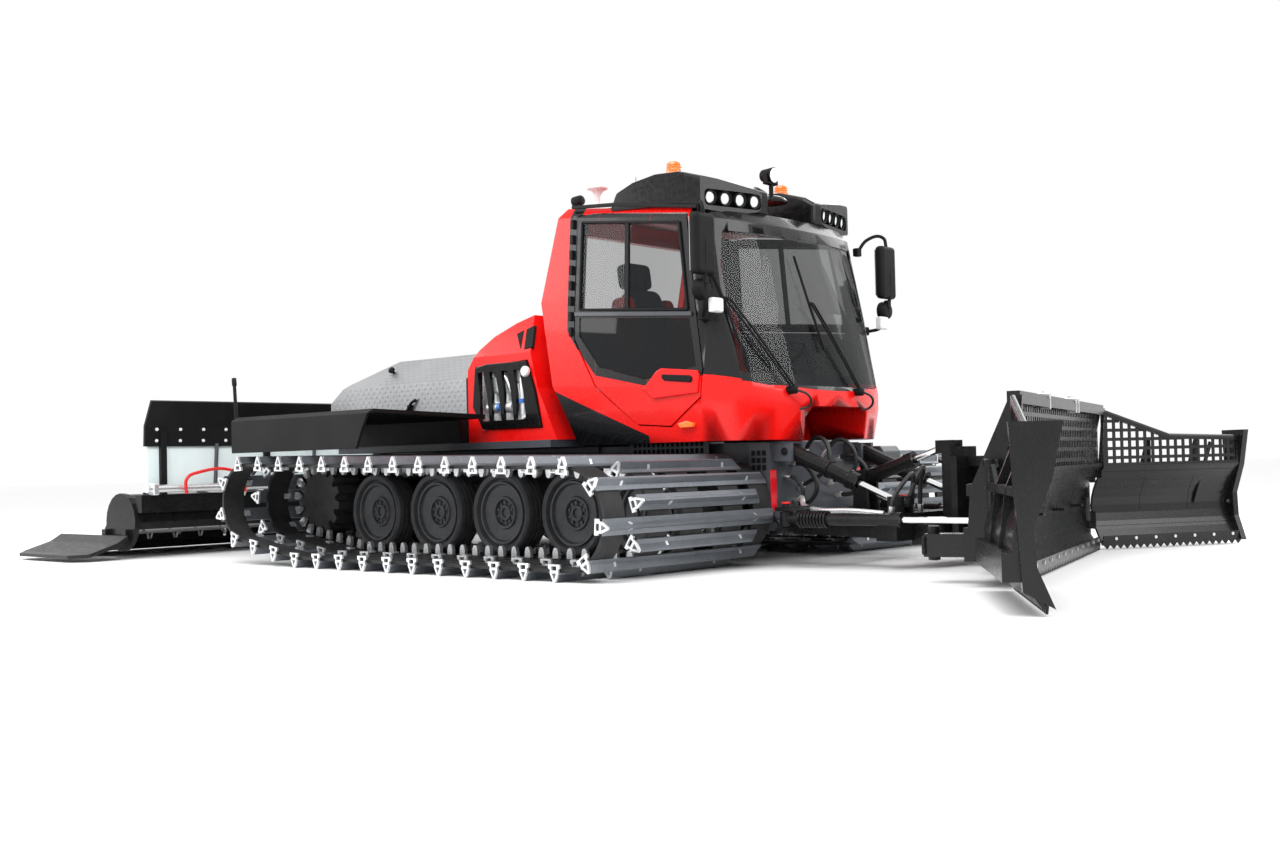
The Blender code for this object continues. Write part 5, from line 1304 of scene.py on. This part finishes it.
pipes = [tube([(1.90, -0.37, 0.41), (1.94, -0.40, 0.42), (1.99, -0.45, 0.375), (2.12, -0.50, 0.350),
               (2.40, -0.505, 0.345), (2.60, -0.50, 0.33)], 0.017)]
pipes.append(tube([(2.00, -0.52, 0.300), (2.20, -0.53, 0.300), (2.45, -0.53, 0.300), (2.58, -0.50, 0.290)],
                  0.012))
pipe_body = join(pipes, "pipes")
done(pipe_body, "push_frame", pale_aluminium, "rod_chrome", name="bent_pipes")
for word, side in SIDES:
    rear = Vector((2.02, side * 0.68, 0.30))
    front_lug = BLADE_PLACE @ Vector((0.085, side * 0.62, 0.30))
    line = (front_lug - rear).normalized()
    ribs = [rod(rear + line * (0.10 + 0.022 * i), rear + line * (0.113 + 0.022 * i), 0.052, 24)
            for i in range(9)]
    ribs.append(rod(rear + Vector((0, 0, -0.09)), rear + Vector((0, 0, 0.095)), 0.022, 20, bevel=0.004))
    glands = carve(join(ribs, "ribs"), rod(rear + line * 0.09, rear + line * 0.60, 0.040))
    done(glands, f"angle_barrel_{word}", black_steel, "black_steel", name=f"angle_glands_{word}")
    cap_piece = rod(rear + Vector((0, 0, 0.093)), rear + Vector((0, 0, 0.105)), 0.028, 20, bevel=0.003)
    done(cap_piece, f"angle_barrel_{word}", red_plastic, "red_paint", name=f"angle_pin_cap_{word}")
chamfer = plate([(1.66, 0.600), (1.66, 0.700), (1.70, 0.742), (1.92, 0.742), (1.95, 0.70), (1.95, 0.62)],
                0.56, 0.78, bevel=0.008)
done(chamfer, "root", grey_paint, "dark_grey_paint", name="front_step")


# %% [markdown]
# A hose is a smooth line through a few points, with crimped ends. Its ends are moved to the nearest steel
# of the body that carries it, so it starts and ends in the machine and moves with one body at every pose.

# %% Hoses
FITTING_PARTS = {"root": ("chassis_frame",), "push_frame": ("push_frame",), "tiller_frame": ("tiller_frame",),
                 "tiller_unit": ("tiller_housing", "rear_guard")}


def flowing(points, steps=6):
    """A smooth line of points through the given ones."""
    knots = [Vector(point) for point in points]
    knots = [2 * knots[0] - knots[1]] + knots + [2 * knots[-1] - knots[-2]]
    line = []
    for a, b, c, d in zip(knots, knots[1:], knots[2:], knots[3:]):
        for i in range(steps):
            t = i / steps
            line.append(0.5 * (2 * b + (c - a) * t + (2 * a - 5 * b + 4 * c - d) * t ** 2
                               + (3 * b - a - 3 * c + d) * t ** 3))
    return line + [knots[-2]]


def anchored(point, body):
    """The nearest place on the body's CAD parts, where a fitting can be screwed in."""
    best = None
    for part_name in FITTING_PARTS[body]:
        _, place, _, _ = NODES[part_name].closest_point_on_mesh(Vector(point))
        if best is None or (place - Vector(point)).length < (best - Vector(point)).length:
            best = place
    return tuple(best)


def hose(points, radius, body, name):
    """A loose hose through points: a smooth tube with its own centre line, with crimped ends."""
    points = [anchored(points[0], body)] + points[1:-1] + [anchored(points[-1], body)]
    path = [tuple(point) for point in flowing(points)]
    piece = tube(path, radius, name, 5, False)
    done(piece, body, hose_rubber, "satin_black", name=name)
    ends = []
    for first, second in ((path[0], path[1]), (path[-1], path[-2])):
        aim = (Vector(second) - Vector(first)).normalized()
        ends.append(rod(Vector(first) - aim * 0.020, Vector(first) + aim * 0.045, radius * 1.35, 16,
                        bevel=0.003))
        ends.append(rod(Vector(first) - aim * 0.035, Vector(first) - aim * 0.015, radius * 1.6, 6))
    done(join(ends, "crimps"), body, zinc, "rod_chrome", name=name + "_crimps")


HOSES = {
    "hose_blade_right": ([(2.64, -0.25, 0.33), (2.66, -0.27, 0.46), (2.72, -0.36, 0.56), (2.72, -0.46, 0.52),
                          (2.68, -0.52, 0.42), (2.66, -0.52, 0.33)], 0.014, "push_frame"),
    "hose_blade_left": ([(2.62, -0.12, 0.33), (2.64, -0.14, 0.50), (2.70, -0.20, 0.60), (2.70, -0.29, 0.54),
                         (2.65, -0.34, 0.33)], 0.014, "push_frame"),
    "hose_lift_right": ([(1.78, -0.28, 0.64), (1.90, -0.29, 0.62), (1.99, -0.30, 0.50), (1.92, -0.29, 0.39),
                         (1.78, -0.26, 0.40)], 0.015, "root"),
    "hose_lift_left": ([(1.78, 0.22, 0.66), (1.90, 0.24, 0.68), (2.00, 0.26, 0.58), (1.92, 0.24, 0.44),
                        (1.78, 0.22, 0.42)], 0.015, "root"),
    "hose_nose_right": ([(1.78, -0.14, 0.70), (1.88, -0.16, 0.80), (1.99, -0.18, 0.76), (2.00, -0.20, 0.60),
                         (1.78, -0.20, 0.48)], 0.014, "root"),
    "hose_nose_left": ([(1.78, 0.08, 0.70), (1.88, 0.12, 0.79), (1.98, 0.14, 0.72), (1.97, 0.15, 0.58),
                        (1.78, 0.13, 0.50)], 0.014, "root"),
    "hose_angle_right": ([(1.78, -0.36, 0.56), (1.86, -0.35, 0.54), (1.91, -0.34, 0.46), (1.86, -0.33, 0.36),
                          (1.78, -0.33, 0.33)], 0.012, "root"),
}
for name, (points, radius, body) in HOSES.items():
    hose(points, radius, body, name)
print("front hoses", len(HOSES))

# %% [markdown]
# ## Cab panels
# The pressed panels of the cab are curved, so the copy of the shell is shaded smooth across its small
# facets, while its real creases stay sharp. The bent windscreen gets the same treatment.

# %% Smooth panels
for node_name, material, slot_name, piece_name in (("cab_shell", cab_paint, "red_paint", "cab_panels"),
                                                   ("windshield", clear_glass, "clear_glass", "windscreen")):
    panel = smooth(with_merged(node_name), 24)
    modify(panel, "WEIGHTED_NORMAL", keep_sharp=True, weight=100)
    done(panel, "cab", material, slot_name, node_name, name=piece_name)
print("cab panels done")

# %% [markdown]
# ## Tiller and rear guard
# Behind the machine a toothed cutter turns under a rounded hood, and a heavy rubber mat with ribs smooths
# the snow. A black board bolted to the beam carries the clear snow curtain, with grey struts, an aluminium
# tube and hoses.

# %% Rear board, beam and struts
bolts = []
for z, x in ((0.925, -3.153), (1.015, -3.146)):
    for i in range(20):
        bolts.append(Matrix.Translation((x, -1.95 + 3.90 * i / 19, z)))
button = rod((0, 0, 0), (0.010, 0, 0), 0.014, 14, tip=0.010)
board_bolts = place_copies(button, bolts, "board_bolts")
done(board_bolts, "tiller_unit", white_plastic, "rod_chrome", name="rear_board_bolts")
beam = [rod((-3.115, -2.06, 0.545), (-3.115, 2.06, 0.545), 0.032, 28)]
for y in (-2.0, -1.35, -0.62, 0.62, 1.35, 2.0):
    beam.append(block((-3.160, y - 0.025, 0.495), (-3.075, y + 0.025, 0.590), 0.010))
done(join(beam, "beam"), "tiller_unit", pale_aluminium, "cutter_steel", name="rear_tube_beam")
struts = [rod((-3.13, y, 0.56), (-3.145, y + 0.03 * (1 if y < 0 else -1), 0.90), 0.016, 16) for y in
          (-1.45, -0.50, 0.50, 1.45)]
done(join(struts, "struts"), "tiller_unit", grey_paint, "dark_grey_paint", name="curtain_struts")
red_tube = tube([(-3.06, -1.75, 0.50), (-3.05, -1.75, 0.62), (-3.05, -1.66, 0.665), (-3.05, -1.30, 0.665),
                 (-3.06, -1.22, 0.60), (-3.06, -1.22, 0.50)], 0.013)
done(red_tube, "tiller_unit", red_plastic, "red_paint", name="bent_guard_tube")
curtain_strip = plate([(-2.02, 0.862), (2.02, 0.862), (2.02, 0.885), (-2.02, 0.885)], -3.185, -3.176,
                      plane="YZ", bevel=0.002)
done(curtain_strip, "tiller_unit", zinc, "cutter_steel", name="curtain_strip")

# %% [markdown]
# The cutter is a shaft with steel teeth in a spiral, so only a few bite at a time. One tooth is a small
# tapered plate, and three at each station are turned a little further along the shaft.

# %% Cutter teeth
cut_low, cut_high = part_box("tiller_shaft")
centre_x, centre_z = (cut_low.x + cut_high.x) / 2, (cut_low.z + cut_high.z) / 2
cut_radius = min(cut_high.z - cut_low.z, cut_high.x - cut_low.x) / 2
tooth = plate([(-0.016, 0.055), (0.016, 0.055), (0.010, cut_radius - 0.012), (-0.004, cut_radius - 0.001)],
              -0.005, 0.005, bevel=0.002)
tooth_places = []
COUNT = 54
for i in range(COUNT):
    y = cut_low.y + 0.06 + (cut_high.y - cut_low.y - 0.12) * i / (COUNT - 1)
    for j in range(3):
        turn = Matrix.Rotation(2 * math.pi * (j / 3 + i * 0.11), 4, "Y")
        tooth_places.append(Matrix.Translation((centre_x, y, centre_z)) @ turn)
done(place_copies(tooth, tooth_places, "teeth"), "tiller_shaft", cutter_steel, "cutter_steel",
     name="cutter_teeth")

# %% [markdown]
# The rubber mat has lengthwise ribs that comb the snow. Each rib is a thin bar that follows the mat's own
# height, found by looking straight down on it. Black stays stiffen the round hood in front of the cutter.

# %% Mat ribs and hood stays
def top_of(node_name, x, y):
    """The height of a CAD part's upper side at a place."""
    hit, place, _, _ = NODES[node_name].ray_cast(Vector((x, y, 2.0)), Vector((0, 0, -1)))
    return place.z if hit else None


ribs = []
mat_low, mat_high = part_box("finisher")
for i in range(27):
    y = mat_low.y + 0.10 + (mat_high.y - mat_low.y - 0.20) * i / 26
    line = []
    for j in range(9):
        x = -3.72 - (4.50 - 3.72) * j / 8
        z = top_of("finisher", x, y)
        if z is not None:
            line.append((x, y, z + 0.001))
    if len(line) > 2:
        ribs.append(tube(line, 0.007, sides=2))
done(join(ribs, "ribs"), "tiller_unit", mat_rubber, "mat_rubber", name="mat_ribs")
stays = []
for i in range(9):
    y = -1.92 + 3.84 * i / 8
    stays.append(plate([(-3.205, 0.30), (-3.205, 0.50), (-3.30, 0.512), (-3.42, 0.516), (-3.42, 0.500),
                        (-3.31, 0.494), (-3.235, 0.46), (-3.222, 0.30)], y - 0.008, y + 0.008, bevel=0.002))
done(join(stays, "stays"), "tiller_unit", black_steel, "tiller_black", name="hood_ribs")

# %% [markdown]
# Behind the deck, hoses loop from the rear plate to the lift arms and across the hood to the cutter's
# motors. They are made in the same way as the front ones.

# %% Rear hoses
REAR_HOSES = {
    "hose_tiller": ([(-2.29, -0.30, 0.74), (-2.38, -0.31, 0.80), (-2.46, -0.32, 0.72), (-2.41, -0.32, 0.60),
                     (-2.29, -0.31, 0.54)], 0.015, "root"),
    "hose_arm": ([(-2.55, -0.46, 0.62), (-2.58, -0.46, 0.72), (-2.70, -0.46, 0.77), (-2.82, -0.46, 0.72),
                  (-2.85, -0.46, 0.62)], 0.014, "tiller_frame"),
    "hose_motor": ([(-3.13, -0.80, 0.50), (-3.06, -0.84, 0.62), (-3.02, -1.00, 0.78), (-3.04, -1.14, 0.66),
                    (-3.13, -1.18, 0.50)], 0.014, "tiller_unit"),
}
for name, (points, radius, body) in REAR_HOSES.items():
    for word, side in SIDES:
        hose([(x, -side * y, z) for x, y, z in points], radius, body, f"{name}_{word}")
print("rear done")

# %% [markdown]
# ## Finishes for the CAD parts that stay
# The parts whose shape is already right keep their mesh. Each gets its finish here.

# %% Paint the CAD parts
CAD_FINISHES = {
    grey_paint: ("chassis_frame",),
    satin_black: ("load_deck", "dashboard", "steering_wheel", "rear_guard"),
    moulded_black: ("fender_right", "fender_left"),
    engine_metal: ("engine_block",),
    red_paint: ("engine_fairing",),
    door_paint: ("door_right", "door_left"),
    tread_metal: ("deck_cover",),
    cast_black: ("drive_axle",),
    black_steel: ("push_frame", "lift_barrel_right", "lift_barrel_left", "angle_barrel_right",
                  "angle_barrel_left", "pitch_barrel", "pitch_head", "roll_frame", "tiller_frame",
                  "tiller_barrel", "swing_head", "tiller_housing"),
    chrome: ("lift_rod_right", "lift_rod_left", "angle_rod_right", "angle_rod_left", "pitch_rod",
             "tiller_rod"),
    cutter_steel: ("tiller_shaft",),
    mat_rubber: ("finisher", "side_flap_right", "side_flap_left"),
    clear_sheet: ("snow_curtain",),
}
for material, names in CAD_FINISHES.items():
    for name in names:
        mesh = NODES[name].data
        mesh.materials.clear()
        mesh.materials.append(material)
print("CAD parts finished:", sum(len(names) for names in CAD_FINISHES.values()))

# %% [markdown]
# ## Studio
# A wide white floor under an even white sky, with four soft lights: a large one above the right side, and
# others in front, behind and on the far side. The camera stands low in front of the right corner with a
# normal lens.

# %% Floor
deselect()
bpy.ops.mesh.primitive_plane_add(size=160, location=(0, 0, -0.001))
floor = settle("floor")
floor_material = bpy.data.materials.new("floor")
floor_material.use_nodes = True
floor_tree = floor_material.node_tree
floor_shader = floor_tree.nodes["Principled BSDF"]
floor_shader.inputs["Base Color"].default_value = (0.96, 0.96, 0.96, 1)
floor_shader.inputs["Roughness"].default_value = 0.6
floor.data.materials.append(floor_material)

# %% [markdown]
# The light is white and even, as in a studio, so dark parts keep a soft sheen and the ground shadow stays
# pale.

# %% Lights
world = bpy.data.worlds.new("studio")
bpy.context.scene.world = world
world.use_nodes = True
world.node_tree.nodes["Background"].inputs["Color"].default_value = (1, 1, 1, 1)
world.node_tree.nodes["Background"].inputs["Strength"].default_value = 1.0


def softbox(place, target, width, height, power, name):
    data = bpy.data.lights.new(name, "AREA")
    data.shape = "RECTANGLE"
    data.size, data.size_y, data.energy = width, height, power
    lamp = bpy.data.objects.new(name, data)
    bpy.context.scene.collection.objects.link(lamp)
    lamp.location = place
    lamp.rotation_euler = (Vector(target) - Vector(place)).to_track_quat("-Z", "Y").to_euler()


softbox((2.0, -6.0, 8.0), (0, 0, 0.8), 9, 5, 700, "key")
softbox((9.0, 2.0, 5.0), (2.5, 0, 0.6), 5, 4, 300, "front")
softbox((-8.0, -6.0, 5.0), (-2.0, 0, 0.8), 6, 4, 320, "rear")
softbox((0.0, 8.0, 6.0), (0, 0, 1.2), 9, 4, 260, "far")

# %% [markdown]
# The camera looks level at the right front corner from about ten metres, with a slight roll.

# %% Camera
YAW, PITCH, ROLL = 0.729, -0.025, -0.023
ahead = Vector((-math.sin(YAW) * math.cos(PITCH), math.cos(YAW) * math.cos(PITCH), -math.sin(PITCH)))
level = Vector((math.cos(YAW), math.sin(YAW), 0))
upright = level.cross(ahead)
side_axis = level * math.cos(ROLL) + upright * math.sin(ROLL)
up_axis = upright * math.cos(ROLL) - level * math.sin(ROLL)
camera_data = bpy.data.cameras.new("camera")
camera_data.sensor_width = 36
camera_data.lens = 39.375
camera_data.clip_end = 300
camera = bpy.data.objects.new("camera", camera_data)
bpy.context.scene.collection.objects.link(camera)
turn = Matrix((side_axis, up_axis, -ahead)).transposed().to_4x4()
camera.matrix_world = Matrix.Translation((7.066, -7.654, 0.669)) @ turn
bpy.context.scene.camera = camera
bpy.context.scene.view_settings.view_transform = "Standard"
bpy.context.scene.view_settings.look = "None"

# %% [markdown]
# ## The end

# %% Finish
deselect()
